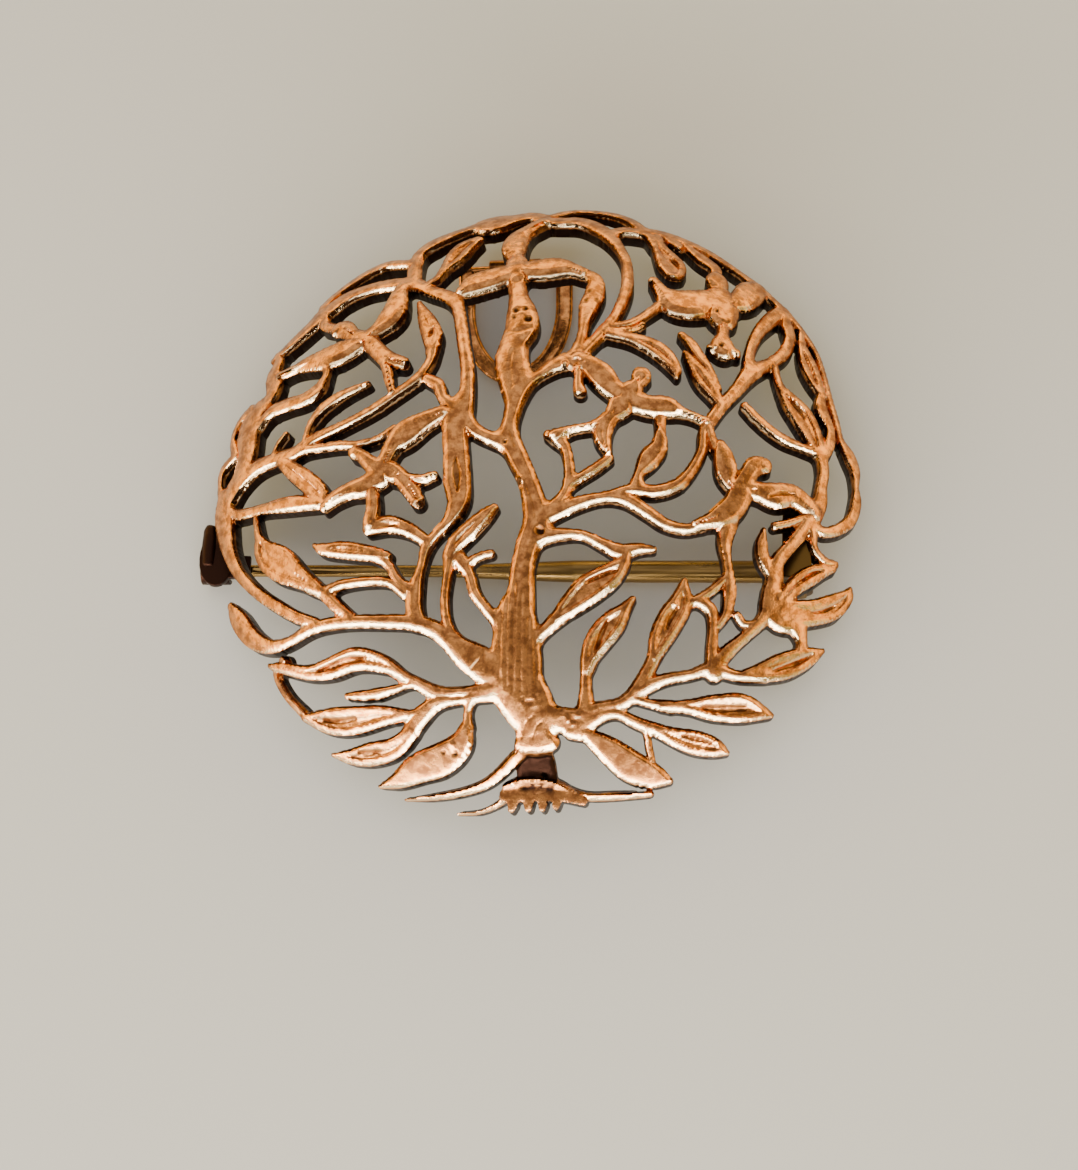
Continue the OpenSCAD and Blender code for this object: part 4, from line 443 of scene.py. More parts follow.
class Chart:
    """Fields on a flat grid of the dome's skin, in mm: how far a point is inside an edge, and its height."""

    # How far round a limb its field is worked out, and how round the field is along the limb's middle
    REACH = 1.5
    RIDGE = 0.14
    # How wide the boughs' swell is, and how steeply it begins
    CROWN = 0.7
    CROWN_RISE = 0.14
    # How gently and how steeply an edge may fall, and how steeply it goes on below its foot
    FALLS = 0.2, 1.7
    FOOT_FALL = 4

    def __init__(self, half, step):
        count = int(round(half / step))
        self.step = step
        self.axis = np.arange(-count, count + 1) * step
        self.across, self.up = np.meshgrid(self.axis, self.axis, indexing="ij")
        self.far = np.maximum(np.hypot(self.across, self.up), 1e-6)
        self.turn = self.far / SKIN_R

    def blank(self):
        return np.full_like(self.far, -self.REACH)

    def window(self, run):
        half = run[:, WIDE:] / 2 + self.REACH
        low = np.searchsorted(self.axis, (run[:, :2] - half).min(0))
        high = np.searchsorted(self.axis, (run[:, :2] + half).max(0))
        return slice(low[0], high[0]), slice(low[1], high[1])

    def limb(self, stations, spread):
        """How far the points round a limb lie inside its edge, and the part of the grid that this is for."""
        run = flowing(stations)
        part = self.window(run)
        u, v = self.axis[part[0], None], self.axis[None, part[1]]
        inside = np.full((u.shape[0], v.shape[1]), -self.REACH)
        for a, b in zip(run[:-1], run[1:]):
            way = b[:2] - a[:2]
            t = np.clip(((u - a[0]) * way[0] + (v - a[1]) * way[1]) / max(way @ way, 1e-9), 0, 1)
            far = np.hypot(u - a[0] - t * way[0], v - a[1] - t * way[1])
            radius = (a[WIDE] + t * (b[WIDE] - a[WIDE])) / 2 + spread
            if spread > 0:
                rise = np.sqrt(radius**2 + self.RIDGE**2) - self.RIDGE
                far = (np.sqrt(far**2 + self.RIDGE**2) - self.RIDGE) * radius / rise
            inside = np.maximum(inside, radius - far)
        return inside, part

    def limbs(self, table, spread, blend=LIMB_BLEND):
        field = self.blank()
        for stations in table:
            inside, part = self.limb(stations, spread)
            field[part] = smooth_max(field[part], inside, blend)
        return field

    def inward(self, inside):
        """The level direction from an edge into its limb, of length 1."""
        slope = np.stack(np.gradient(inside, self.step))
        return slope / np.maximum(np.hypot(*slope), 1e-3)

    def facing(self, inside):
        """How far an edge faces the front, and how steeply the dome climbs the way that the edge faces."""
        in_u, in_v = self.inward(inside)
        return ramp(in_v, -0.15, 0.6), np.sin(self.turn) * (in_u * self.across + in_v * self.up) / self.far

    def mirroring(self, inside, light):
        """How steeply an edge has to fall to show the middle of a level strip of light to the viewer.

        With a fall f, the edge's upright is skin + f * tilt. The viewer sees the strip's plane mirrored where
        2 (upright . eye) (upright . plane) = (eye . plane) (upright . upright), which is solved for f.
        """
        flat = np.zeros_like(self.far)
        place = np.stack([self.across, self.up, flat])
        outward, around = place / self.far, np.stack([-self.up, self.across, flat]) / self.far
        faced = -np.stack([*self.inward(inside), flat])
        tilt = dot(faced, outward) / np.cos(self.turn) * outward + dot(faced, around) * around
        skin = np.tan(self.turn) * outward + np.reshape([0, 0, 1], (3, 1, 1))
        eye = np.reshape(VIEWER, (3, 1, 1)) - place
        strip = np.reshape(light, (3, 1, 1)) - place
        plane = np.cross(strip, [-light[1], light[0], 0], axisa=0, axisc=0)
        seen = dot(eye, plane)
        square = 2 * dot(tilt, eye) * dot(tilt, plane) - seen * dot(tilt, tilt)
        square = np.minimum(square, -1e-3 * seen)
        half = dot(tilt, eye) * dot(skin, plane) + dot(skin, eye) * dot(tilt, plane) - seen * dot(tilt, skin)
        rest = 2 * dot(skin, eye) * dot(skin, plane) - seen * dot(skin, skin)
        return -(half + np.sqrt(np.maximum(half**2 - square * rest, 0))) / square

    def lean(self, inside):
        """How steeply an edge falls along the skin: at a set lean behind, and mirroring a light in front."""
        front, rise = self.facing(inside)
        behind = along_skin(BACK_LEAN, rise)
        low, high = (np.clip(self.mirroring(inside, light), *self.FALLS)
                     for light in (FRONT_LIGHT, HIGH_LIGHT))
        ahead = low + (high - low) * ramp(self.up, CROWN_UP, 1.0)
        return np.clip(behind + (ahead - behind) * front, *self.FALLS)

    def shoulder(self, inside, bevel, width):
        """How far a top sinks towards its front bevel over a broad, gently leaning shoulder."""
        front, rise = self.facing(inside)
        lean = np.clip(along_skin(SHOULDER_LEAN, rise), 0, 1)
        return front * lean * np.clip(bevel + width - inside, 0, width)

    def bevelled(self, inside, bevel, top):
        """A flat top behind a bevel, whose foot goes on down more steeply outside the edge."""
        lean = self.lean(inside)
        rise = np.where(inside > 0, lean * inside, self.FOOT_FALL * inside)
        return smooth_min(top - lean * bevel + rise, np.full_like(inside, top), TOP_BLEND)

    def crowned(self, inside, bevel):
        """A low swell of the top behind its bevel."""
        deep = np.clip(inside - bevel, 0, self.CROWN)
        return self.CROWN_RISE * deep * (1 - deep / (2 * self.CROWN))

    def slope(self, height):
        """How steeply the top of the dome with a height on it falls away to the front, and in all."""
        fall_u, fall_v = (slope / np.cos(self.turn) - np.tan(self.turn) * place / self.far for slope, place
                          in zip(np.gradient(height, self.step), (self.across, self.up)))
        return fall_v, np.hypot(fall_u, fall_v)

    def bump(self, bumps):
        """Low round knobs and pits."""
        height = np.zeros_like(self.far)
        for across, up, radius, rise in bumps:
            far = np.hypot(self.across - across, self.up - up) / radius
            height += rise * np.clip(1 - far**2, 0, None)**2
        return height

    def ripple(self, size, seed):
        """Smooth random unevenness between -1 and 1, with swells about as wide as size."""
        draw = np.random.default_rng(seed)
        count = int(2 * self.axis[-1] / size) + 3
        coarse = draw.uniform(-1, 1, (count, count))
        place = (self.axis - self.axis[0]) / size
        i, t = place.astype(int), eased(place % 1)
        rows = coarse[i] * (1 - t[:, None]) + coarse[i + 1] * t[:, None]
        return rows[:, i] * (1 - t) + rows[:, i + 1] * t


def casting_fields(chart, settings):
    """The outline of the whole pattern, and the height of its top and how dark it is, with patina, painted
    shade and a painted highlight.
    """
    bevel, relief = settings.bevel / MM, settings.relief / MM
    spread, narrow = settings.spread / MM, settings.narrow_spread / MM
    trunk = chart.limbs(TRUNK, narrow)
    boughs = chart.limbs(LOW_BOUGHS + CROWN_BOUGHS, spread)
    wood = smooth_max(trunk, boughs, WOOD_BLEND)
    roots = chart.limbs(ROOTS, spread)
    ground = chart.limbs(GROUND, narrow, 0.1)
    foot = chart.limbs(FOOT, narrow)
    leaves = chart.limbs(LEAVES, narrow)
    full_leaves = chart.limbs(FULL_LEAVES, spread)
    doves = chart.limbs(DOVES, 2 * narrow, 0.12)
    hollows = chart.limbs(HOLLOWS, narrow)

    # The tops: the leaves have a trough behind their rims, and the ground is levelled towards its teeth
    swell = TRUNK_SWELL * eased(ramp(smooth_max(trunk, hollows, WOOD_BLEND), 0.0, 1.2))
    troughs = np.clip(leaves - bevel - LEAF_RIM, 0, None) * chart.lean(-leaves)
    troughs = smooth_min(troughs, np.full_like(leaves, TROUGH), 0.04)
    level = LEVEL_RISE * np.clip(LEVEL_UP - chart.up, 0, 2.6)
    outline, height = chart.blank(), np.full_like(trunk, -9.0)
    for field, top in [
            (wood, chart.bevelled(wood, bevel, 0.0) + swell + chart.crowned(boughs, bevel)),
            (roots, chart.bevelled(roots, 2 * bevel, 0.0)),
            (ground, np.minimum(chart.FOOT_FALL * ground, 0.0) + GROUND_TOP + level),
            (foot, chart.bevelled(foot, 1.4 * bevel, FOOT_TOP)),
            (leaves, chart.bevelled(leaves, bevel, LEAF_TOP) - troughs),
            (full_leaves, chart.bevelled(full_leaves, 1.2 * bevel, FULL_LEAF_TOP)),
            (doves, chart.bevelled(doves, bevel, relief) - chart.shoulder(doves, bevel, 0.45)),
            (hollows, chart.bevelled(hollows, bevel, HOLLOW_TOP))]:
        outline = smooth_max(outline, field, OUTLINE_BLEND)
        height = smooth_max(height, top, TOP_BLEND)

    # Slits, bark, ridges and knobs, and the unevenness of a casting, all of which fade out at the rim
    slits = ramp(chart.limbs(SLITS, -0.03), -0.042, 0.14)
    bark = ramp(chart.limbs(BARK, 0.0), -0.05, 0.1)
    ridges = ramp(chart.limbs(RIDGES, 0.0), -0.06, 0.1)
    knobs = chart.bump(BUMPS)
    rim = ramp(outline, 0.0, bevel)**2
    height += rim * (knobs + 0.03 * ridges - settings.groove / MM * slits - 0.06 * bark)
    height += rim * (0.012 * chart.ripple(1.3, 4) + 0.004 * chart.ripple(0.45, 7))
    height += rim * chart.bump(ROUGH) * chart.ripple(0.28, 9)

    # The patina and painted light: wear has polished the slanted edges that face the front, which also get a
    # painted highlight
    fall, steep = chart.slope(height)
    front = ramp(fall, 0.55, 0.15) * ramp(fall / np.maximum(steep, 0.1), 0.5, 0.2)
    recess = ramp(-height, 0, 0.5) * (hollows > 0)
    south = ramp(-chart.up, 13.5, 1.5)
    places = {"slits": slits, "bark": bark, "troughs": troughs, "recess": recess,
              # Painted shade on the edges that face away from the front and in the middles of the tops
              "edges": (1 - ramp(outline, 0, 0.2)) * (1 - front), "tops": ramp(outline, 0.2, 0.3),
              # Painted shade on the ground, the plump leaves, and the tops and globe towards the front
              "ground": ramp(ground, 0, 0.2), "full leaves": ramp(full_leaves, 0.3, 0.2),
              "south tops": south * ramp(outline, 0.3, 0.2),
              "globe": south * ramp(np.maximum(trunk, foot), 0.4, 0.4),
              # Worn polish and a painted highlight on the slanted edges that face the front
              "polish_and_highlight": front * ramp(np.gradient(height, chart.step, axis=1), 0.1, 0.15)}
    patina_and_shade = np.clip(-knobs / 0.15, 0, 0.8) + sum(PATINA_SHADE_AND_SHEEN[name] * field for name, field in places.items())
    return outline, height, patina_and_shade


def on_dome(across, up, height, depth):
    """Points of the dome's skin, raised by height and sunk by depth into its nearly upright walls, in mm."""
    far = np.maximum(np.hypot(across, up), 1e-6)
    turn = far / SKIN_R
    out = np.sin(turn)[:, None] * np.stack([across, up], 1) / far[:, None]
    side = SKIN_R - depth * (1 - UPRIGHT)
    rise = np.cos(turn) * side + height - depth * UPRIGHT / np.cos(turn)
    points = np.column_stack([out * side[:, None], SKIN_Z + rise])
    points[:, 2] = np.maximum(points[:, 2], RIM_Z)
    return points


def sheet_of(chart, outline):
    """Triangles that cover the outline, with the grid's points near it moved onto it."""
    slope_u, slope_v = np.gradient(outline, chart.step)
    steep = np.maximum(slope_u**2 + slope_v**2, 1e-4)
    near = np.abs(outline) < 0.5 * chart.step * np.sqrt(steep)
    shift = np.where(near, -outline / steep, 0.0)
    shift = np.clip(shift, -0.7 * chart.step, 0.7 * chart.step)
    place = np.stack([chart.across + shift * slope_u, chart.up + shift * slope_v], 2)
    kept = near | (outline > 0)
    number = np.arange(kept.size).reshape(kept.shape)
    corners = np.stack([number[:-1, :-1], number[1:, :-1], number[1:, 1:], number[:-1, 1:]], 2)
    held = np.stack([kept[:-1, :-1], kept[1:, :-1], kept[1:, 1:], kept[:-1, 1:]], 2)
    whole = corners[held.all(2)]
    triangles = [whole[:, [0, 1, 2]], whole[:, [0, 2, 3]]]
    for missing in range(4):
        three = held.sum(2) == 3
        three &= ~held[:, :, missing]
        triangles.append(corners[three][:, [(missing + k) % 4 for k in (1, 2, 3)]])
    normal = np.stack([-slope_u, -slope_v], 2) / np.sqrt(steep)[:, :, None]
    return np.concatenate(triangles), place.reshape(-1, 2), normal.reshape(-1, 2)


def largest_piece(triangles):
    """The triangles that hang together, without any crumb beside them."""
    label = np.arange(triangles.max() + 1)
    while True:
        least = label[triangles].min(1)
        before = label.copy()
        for k in range(3):
            np.minimum.at(label, triangles[:, k], least)
        label = label[label]
        if (label == before).all():
            break
    owners = label[triangles[:, 0]]
    names, counts = np.unique(owners, return_counts=True)
    return triangles[owners == names[counts.argmax()]]


def casting_mesh(settings):
    """The casting as one closed mesh, with its patina, painted shade and painted highlight, and with how far
    each point may be thinned out.
    """
    chart = Chart(CHART_HALF, settings.grid_step / MM)
    outline, height, patina_and_shade = casting_fields(chart, settings)
    triangles, place, normal = sheet_of(chart, outline)
    used, triangles = np.unique(largest_piece(triangles), return_inverse=True)
    triangles = triangles.reshape(-1, 3)
    place, normal = place[used], normal[used]
    edges = np.concatenate([triangles[:, [0, 1]], triangles[:, [1, 2]], triangles[:, [2, 0]]])
    keys = np.sort(edges, 1) @ np.array([len(used), 1])
    _, first, counts = np.unique(keys, return_index=True, return_counts=True)
    rim = edges[first[counts == 1]]
    edge_points = np.unique(rim)

    # Three layers of points: the tops, the foot of the walls and the back, which is drawn in a little
    top = height.ravel()[used]
    top[edge_points] -= 1.2 * np.clip(outline.ravel()[used][edge_points], -0.1, 0.1)
    layers = [place, place[edge_points] + 0.02 * normal[edge_points], place.copy()]
    layers[2][edge_points] -= 0.1 * normal[edge_points]
    flat = np.concatenate(layers)
    none, round_rim = np.zeros(len(used)), np.zeros(len(edge_points))
    back_depth = WALL - 0.04 * chart.ripple(0.9, 11).ravel()[used]
    depths = np.concatenate([none, round_rim + WALL - 0.12, back_depth])
    points = on_dome(flat[:, 0], flat[:, 1], np.concatenate([top, round_rim, none]), depths)

    # The walls run round the rim in two rows
    wall_of = np.zeros(len(used), int)
    wall_of[edge_points] = len(used) + np.arange(len(edge_points))
    back = len(used) + len(edge_points)
    a, b = rim[:, 0], rim[:, 1]
    walls = [np.stack([b, a, wall_of[a]], 1), np.stack([b, wall_of[a], wall_of[b]], 1),
             np.stack([wall_of[b], wall_of[a], back + a], 1), np.stack([wall_of[b], back + a, back + b], 1)]
    faces = np.concatenate([triangles, *walls, triangles[:, ::-1] + back])

    # The rim of the top takes patina and painted shade except on the highlighted front edges; the walls take
    # patina and painted shade, the back patina
    darkness = patina_and_shade.ravel()[used]
    darkness[edge_points] = np.where(darkness[edge_points] > 0, RIM_PATINA_AND_SHADE, 0.0)
    dark = np.concatenate([darkness, round_rim + WALL_PATINA_AND_SHADE, none + BACK_STAIN])
    behind = none + 1.0
    behind[edge_points] = 0.1
    return points, faces, dark, np.concatenate([none, round_rim + 0.1, behind])


def mesh_of(name, points, faces):
    """A mesh from points in mm and triangles."""
    mesh = bpy.data.meshes.new(name)
    mesh.vertices.add(len(points))
    mesh.vertices.foreach_set("co", (points * MM).astype(np.float32).ravel())
    mesh.loops.add(faces.size)
    mesh.loops.foreach_set("vertex_index", faces.astype(np.int32).ravel())
    mesh.polygons.add(len(faces))
    mesh.polygons.foreach_set("loop_start", np.arange(0, faces.size, 3, dtype=np.int32))
    mesh.update(calc_edges=True)
    mesh.validate()
    return mesh


def brooch_settings():
    return bpy.context.scene.brooch


def feed(tree, socket, value):
    """Join a socket to another, or set it to a number or a colour."""
    if isinstance(value, bpy.types.NodeSocket):
        tree.links.new(value, socket)
    else:
        socket.default_value = (*value, 1.0) if socket.type == "RGBA" else value


def add_node(tree, kind, **values):
    """A shader node whose sockets are fed by name, with spaces written as underscores."""
    made = tree.nodes.new(kind)
    for name, value in values.items():
        feed(tree, made.inputs[name.replace("_", " ")], value)
    return made


def blank_material(name):
    material = bpy.data.materials.new(name)
    material.use_nodes = True
    tree = material.node_tree
    return material, tree, tree.nodes["Principled BSDF"]


def mixed_colour(tree, factor, dark, light):
    """A colour that runs from one to another with a factor."""
    mix = tree.nodes.new("ShaderNodeMix")
    mix.data_type = "RGBA"
    feed(tree, mix.inputs["Factor"], factor)
    feed(tree, mix.inputs[6], dark)
    feed(tree, mix.inputs[7], light)
    return mix.outputs[2]


def ranged(tree, value, low, high, to_low, to_high):
    """A value moved from one range to another, and held inside it."""
    made = add_node(tree, "ShaderNodeMapRange", Value=value, From_Min=low, From_Max=high, To_Min=to_low,
                    To_Max=to_high)
    return made.outputs["Result"]


def grain(tree, scale, detail, roughness=0.55):
    """Noise in the piece's own coordinates."""
    place = tree.nodes.new("ShaderNodeTexCoord")
    made = add_node(tree, "ShaderNodeTexNoise", Vector=place.outputs["Object"], Scale=scale, Detail=detail,
                    Roughness=roughness)
    return made.outputs["Fac"]


def bumped(tree, shader, heights):
    """Bump from several heights, each with its strength and its depth in metres."""
    below = {}
    for height, strength, depth in heights:
        bump = add_node(tree, "ShaderNodeBump", Height=height, Strength=strength, Distance=depth, **below)
        below = {"Normal": bump.outputs["Normal"]}
    feed(tree, shader.inputs["Normal"], below["Normal"])


def reckoned(tree, operation, *values, clamped=False):
    """What an operation makes of numbers and sockets."""
    made = tree.nodes.new("ShaderNodeMath")
    made.operation = operation
    made.use_clamp = clamped
    for socket, value in zip(made.inputs, values):
        feed(tree, socket, value)
    return made.outputs[0]


def copper_material(name, finish):
    """Rose copper with brown mottling, a cast grain, and dark patina and painted shade where the mesh's
    points say so, with bright copper as a painted highlight on the front edges.
    """
    material, tree, shader = blank_material(name)
    patina_and_shade = tree.nodes.new("ShaderNodeAttribute")
    patina_and_shade.attribute_name = "patina_and_shade"
    patina_and_shade = patina_and_shade.outputs["Fac"]
    mottle = ranged(tree, grain(tree, 1700.0, 5.0, 0.62), 0.4, 0.6, 0.0, 1.0)
    blotch = grain(tree, 330.0, 3.0)
    cast = grain(tree, 5200.0, 3.0)
    # The front edges are worn and carry a painted highlight: bright copper colour and less roughness
    rubbed_and_highlit = ranged(tree, patina_and_shade, PATINA_SHADE_AND_SHEEN["polish_and_highlight"], 0.0, 0.9, 0.0)
    bright = reckoned(tree, "ADD", mottle, rubbed_and_highlit, clamped=True)
    tops = mixed_colour(tree, bright, finish.copper_brown, finish.copper_rose)
    tops = mixed_colour(tree, rubbed_and_highlit, tops, finish.copper_bright)
    darkness = ranged(tree, blotch, 0.4, 0.7, -0.05, 0.14)
    dark = reckoned(tree, "ADD", patina_and_shade, darkness, clamped=True)
    brown = ranged(tree, mottle, 0.0, 1.0, finish.roughness + 0.05, finish.roughness)
    polish_and_highlight = ranged(tree, rubbed_and_highlit, 0.0, 0.9, 0.0, -0.05)
    shader.inputs["Metallic"].default_value = 1.0
    feed(tree, shader.inputs["Base Color"], mixed_colour(tree, dark, tops, finish.patina_and_shade))
    rough = reckoned(tree, "MULTIPLY_ADD", dark, 0.25, reckoned(tree, "ADD", brown, polish_and_highlight))
    feed(tree, shader.inputs["Roughness"], rough)
    bumped(tree, shader, [(mottle, 0.4, 0.00002), (cast, 0.2, 0.00001)])
    return material


def brass_material(name, finish, browned):
    """Drawn brass with cloudy brown tarnish, more of it where browned is high."""
    material, tree, shader = blank_material(name)
    shader.inputs["Metallic"].default_value = 1.0
    cloud = grain(tree, 90.0, 1.0)
    tarnish = ranged(tree, cloud, 0.35, 0.7, browned - 0.2, browned + 0.2)
    feed(tree, shader.inputs["Base Color"], mixed_colour(tree, tarnish, finish.brass, finish.tarnish))
    feed(tree, shader.inputs["Roughness"], ranged(tree, cloud, 0.3, 0.7, 0.2, 0.3))
    return material


def put(mesh, name, material, slot, body, *stands_for):
    """A mesh as a piece that rides on a body."""
    piece = bpy.data.objects.new(name, mesh)
    bpy.context.scene.collection.objects.link(piece)
    mesh.materials.append(material)
    if stands_for:
        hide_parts(*stands_for)
    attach(piece, body)


def thinned(mesh, triangles, loose):
    """The mesh with fewer triangles, taken mostly where loose is high."""
    piece = bpy.data.objects.new("thinning", mesh)
    bpy.context.scene.collection.objects.link(piece)
    group = piece.vertex_groups.new(name="loose")
    for weight in np.unique(loose):
        group.add(np.flatnonzero(loose == weight).tolist(), float(weight), "REPLACE")
    modifier = piece.modifiers.new("thinning", "DECIMATE")
    modifier.ratio = triangles / len(mesh.polygons)
    modifier.vertex_group = "loose"
    modifier.vertex_group_factor = BACK_FIRST
    found = piece.evaluated_get(bpy.context.evaluated_depsgraph_get())
    thin = bpy.data.meshes.new_from_object(found)
    bpy.data.objects.remove(piece)
    return thin


def sharpen(mesh, degrees):
    """Smooth shading with creases where faces meet at more than an angle."""
    mesh.shade_smooth()
    mesh.set_sharp_from_angle(angle=math.radians(degrees))


class BROOCH_OT_casting(bpy.types.Operator):
    """Cast the tree with its boughs, leaves, roots and doves"""

    bl_idname = "brooch.casting"
    bl_label = "Tree casting"

    def execute(self, context):
        settings = brooch_settings()
        points, faces, dark, loose = casting_mesh(settings.casting)
        mesh = mesh_of("cast_tree", points, faces)
        patina_and_shade = mesh.attributes.new("patina_and_shade", "FLOAT", "POINT")
        patina_and_shade.data.foreach_set("value", dark.astype(np.float32))
        mesh = thinned(mesh, MOST_TRIANGLES, 0.15 + 0.85 * loose)
        sharpen(mesh, CAST_CREASE)
        material = copper_material("cast copper", settings.finish)
        put(mesh, "cast_tree", material, "copper", "brooch", "tree_casting")
        return {"FINISHED"}


def lifted(point, axis, at):
    """A point in the plane across an axis, set at a place along the axis."""
    spot = list(point)
    spot.insert(axis, at)
    return spot


def circle(radius, sides):
    turns = [2 * math.pi * k / sides for k in range(sides)]
    return [(radius * math.cos(turn), radius * math.sin(turn)) for turn in turns]


def arc(radius, start, end, steps):
    turns = [math.radians(start + (end - start) * k / steps) for k in range(steps + 1)]
    return [(radius * math.cos(turn), radius * math.sin(turn)) for turn in turns]


class Parts:
    """A mesh built from prisms and turned bars in the frame of a matrix, in mm."""

    def __init__(self, place):
        self.bm = bmesh.new()
        self.place = place

    def loop(self, points):
        return [self.bm.verts.new(self.place @ Vector(p)) for p in points]

    def bridge(self, first, second):
        for i in range(len(first)):
            j = (i + 1) % len(first)
            self.bm.faces.new([first[i], first[j], second[j], second[i]])

    def tube(self, loops, closed=False):
        """Skin through loops of points, with an end face on each end, or closed to a ring."""
        rings = [self.loop(points) for points in loops]
        for first, second in zip(rings[:-1], rings[1:]):
            self.bridge(first, second)
        if closed:
            self.bridge(rings[-1], rings[0])
        else:
            self.bm.faces.new(rings[0][::-1])
            self.bm.faces.new(rings[-1])

    def prism(self, outline, low, high, axis=0):
        """An outline in the plane across an axis, drawn out along it."""
        self.tube([[lifted(point, axis, at) for point in outline] for at in (low, high)])

    def block(self, low, high):
        outline = [(low[1], low[2]), (high[1], low[2]), (high[1], high[2]), (low[1], high[2])]
        self.prism(outline, low[0], high[0])

    def turned(self, profile, axis=0, centre=(0, 0, 0), sides=40):
        """A bar turned about an axis, from stations of how far along and how thick."""
        self.tube([[Vector(lifted(point, axis, along)) + Vector(centre) for point in circle(radius, sides)]
                   for along, radius in profile])

    def softened(self, width, segments=3, degrees=30):
        """Round off every edge that is sharper than an angle."""
        bmesh.ops.recalc_face_normals(self.bm, faces=self.bm.faces)
        sharp = [edge for edge in self.bm.edges
                 if edge.is_manifold and edge.calc_face_angle() > math.radians(degrees)]
        bmesh.ops.bevel(self.bm, geom=sharp, offset=width, segments=segments, affect="EDGES", profile=0.5,
                        clamp_overlap=True)

    def waved(self, size, depth):
        """Uneven, as a cast or filed surface is, and the same in every run."""
        noise.seed_set(WAVE_SEED)
        for vertex in self.bm.verts:
            vertex.co += depth * noise.noise_vector(vertex.co / size)

    def mesh(self, name, patina_and_shade=0.3):
        """What was built, in metres, with the same patina all over."""
        bmesh.ops.recalc_face_normals(self.bm, faces=self.bm.faces)
        bmesh.ops.scale(self.bm, vec=(MM, MM, MM), verts=self.bm.verts)
        mesh = bpy.data.meshes.new(name)
        self.bm.to_mesh(mesh)
        self.bm.free()
        value = mesh.attributes.new("patina_and_shade", "FLOAT", "POINT")
        value.data.foreach_set("value", [patina_and_shade] * len(mesh.vertices))
        sharpen(mesh, FITTING_CREASE)
        return mesh


def hinge_place():
    """The pin's own frame, in mm: X along the pin from the catch to the hinge, the origin in its rivet."""
    joint = next(j for j in frame["joints"] if j["name"] == "pin_hinge")
    across = -Vector(joint["axis"])
    along = across.cross(Vector((0, 0, 1)))
    turn = Matrix((along, across, (0, 0, 1))).transposed().to_4x4()
    return Matrix.Translation(Vector(joint["pos_m"]) / MM) @ turn


class BROOCH_OT_hinge(bpy.types.Operator):
    """Solder on the seat and the two ears that hold the pin"""

    bl_idname = "brooch.hinge"
    bl_label = "Pin hinge"

    def execute(self, context):
        parts = Parts(hinge_place())
        ear_r, ear_half, near, far = 0.9, 0.78, 0.82, 1.37
        seat, seat_thick = 3.0, 0.6
        ear = arc(ear_r, 180, 360, 20) + [(ear_half, seat + 0.2), (-ear_half, seat + 0.2)]
        for side in (-1, 1):
            parts.prism(ear, *sorted((side * near, side * far)), axis=1)
        parts.block((-ear_r, -1.5, seat), (ear_r, 2.9, seat + seat_thick))
        parts.softened(0.08)
        material = brass_material("hinge brass", brooch_settings().finish, 0.9)
        put(parts.mesh("hinge_ears"), "hinge_ears", material, "brass", "brooch", "tree_casting")
        return {"FINISHED"}


class BROOCH_OT_catch(bpy.types.Operator):
    """Solder on the hook for the pin's point, with its foot and lug"""

    bl_idname = "brooch.catch"
    bl_label = "Pin catch"

    def execute(self, context):
        settings = brooch_settings()
        parts = Parts(hinge_place() @ Matrix.Translation((-16, 0, 0)))
        outer_r, inner_r, mouth_half = 0.9, 0.55, 0.45
        tip, heel = -21.6, -19.8
        outer, inner = (math.degrees(math.asin(mouth_half / radius)) for radius in (outer_r, inner_r))
        hook = arc(outer_r, -90 + outer, 270 - outer, 36) + arc(inner_r, 270 - inner, -90 + inner, 28)
        parts.prism(hook, tip, heel)
        foot = [(1.15 * x - 20.55, 1.75 * y + 0.5) for x, y in arc(1.0, 0, 345, 23)]
        parts.prism(foot, 0.45, 0.95, axis=2)
        parts.prism([(-20.9, -0.8), (-18.4, -0.7), (-18.4, 0.7), (-20.9, 0.8)], 0.5, 0.9, axis=2)
        lug = [(-0.02, 0.3), (0.12, 0.46), (1.2, 0.5), (2.4, 0.47), (2.75, 0.3)]
        parts.turned(lug, axis=1, centre=(-21.1, 0, 0.7), sides=28)
        parts.softened(0.07)
        parts.waved(0.8, 0.05)
        material = copper_material("catch copper", settings.finish)
        put(parts.mesh("pin_catch", patina_and_shade=1.0), "pin_catch", material, "copper", "brooch", "tree_casting")
        return {"FINISHED"}


def bail_place():
    joint = next(j for j in frame["joints"] if j["name"] == "bail_hinge")
    return Matrix.Translation(Vector(joint["pos_m"]) / MM)


class BROOCH_OT_bail_tube(bpy.types.Operator):
    """Solder on the tube in which the bail turns, with its strut"""

    bl_idname = "brooch.bail_tube"
    bl_label = "Bail tube"

    def execute(self, context):
        parts = Parts(bail_place())
        half, bore_r, tube_r, slant = 1.7, 0.35, 0.65, 0.08
        bore = [(-half, bore_r), (half, bore_r)]
        skin = [(half, 0.56), (half - slant, tube_r), (slant - half, tube_r), (-half, 0.56)]
        loops = [[(along, radius * y, radius * z) for along, radius in bore + skin]
                 for y, z in circle(1.0, 36)]
        parts.tube(loops, closed=True)
        parts.prism([(-0.33, 0.45), (0.33, 0.45), (0.3, 3.9), (-0.3, 3.9)], -0.15, 1.05)
        parts.softened(0.05, segments=2, degrees=60)
        parts.waved(0.9, 0.03)
        material = copper_material("tube copper", brooch_settings().finish)
        put(parts.mesh("bail_tube", patina_and_shade=0.5), "bail_tube", material, "copper", "brooch", "tree_casting")
        return {"FINISHED"}


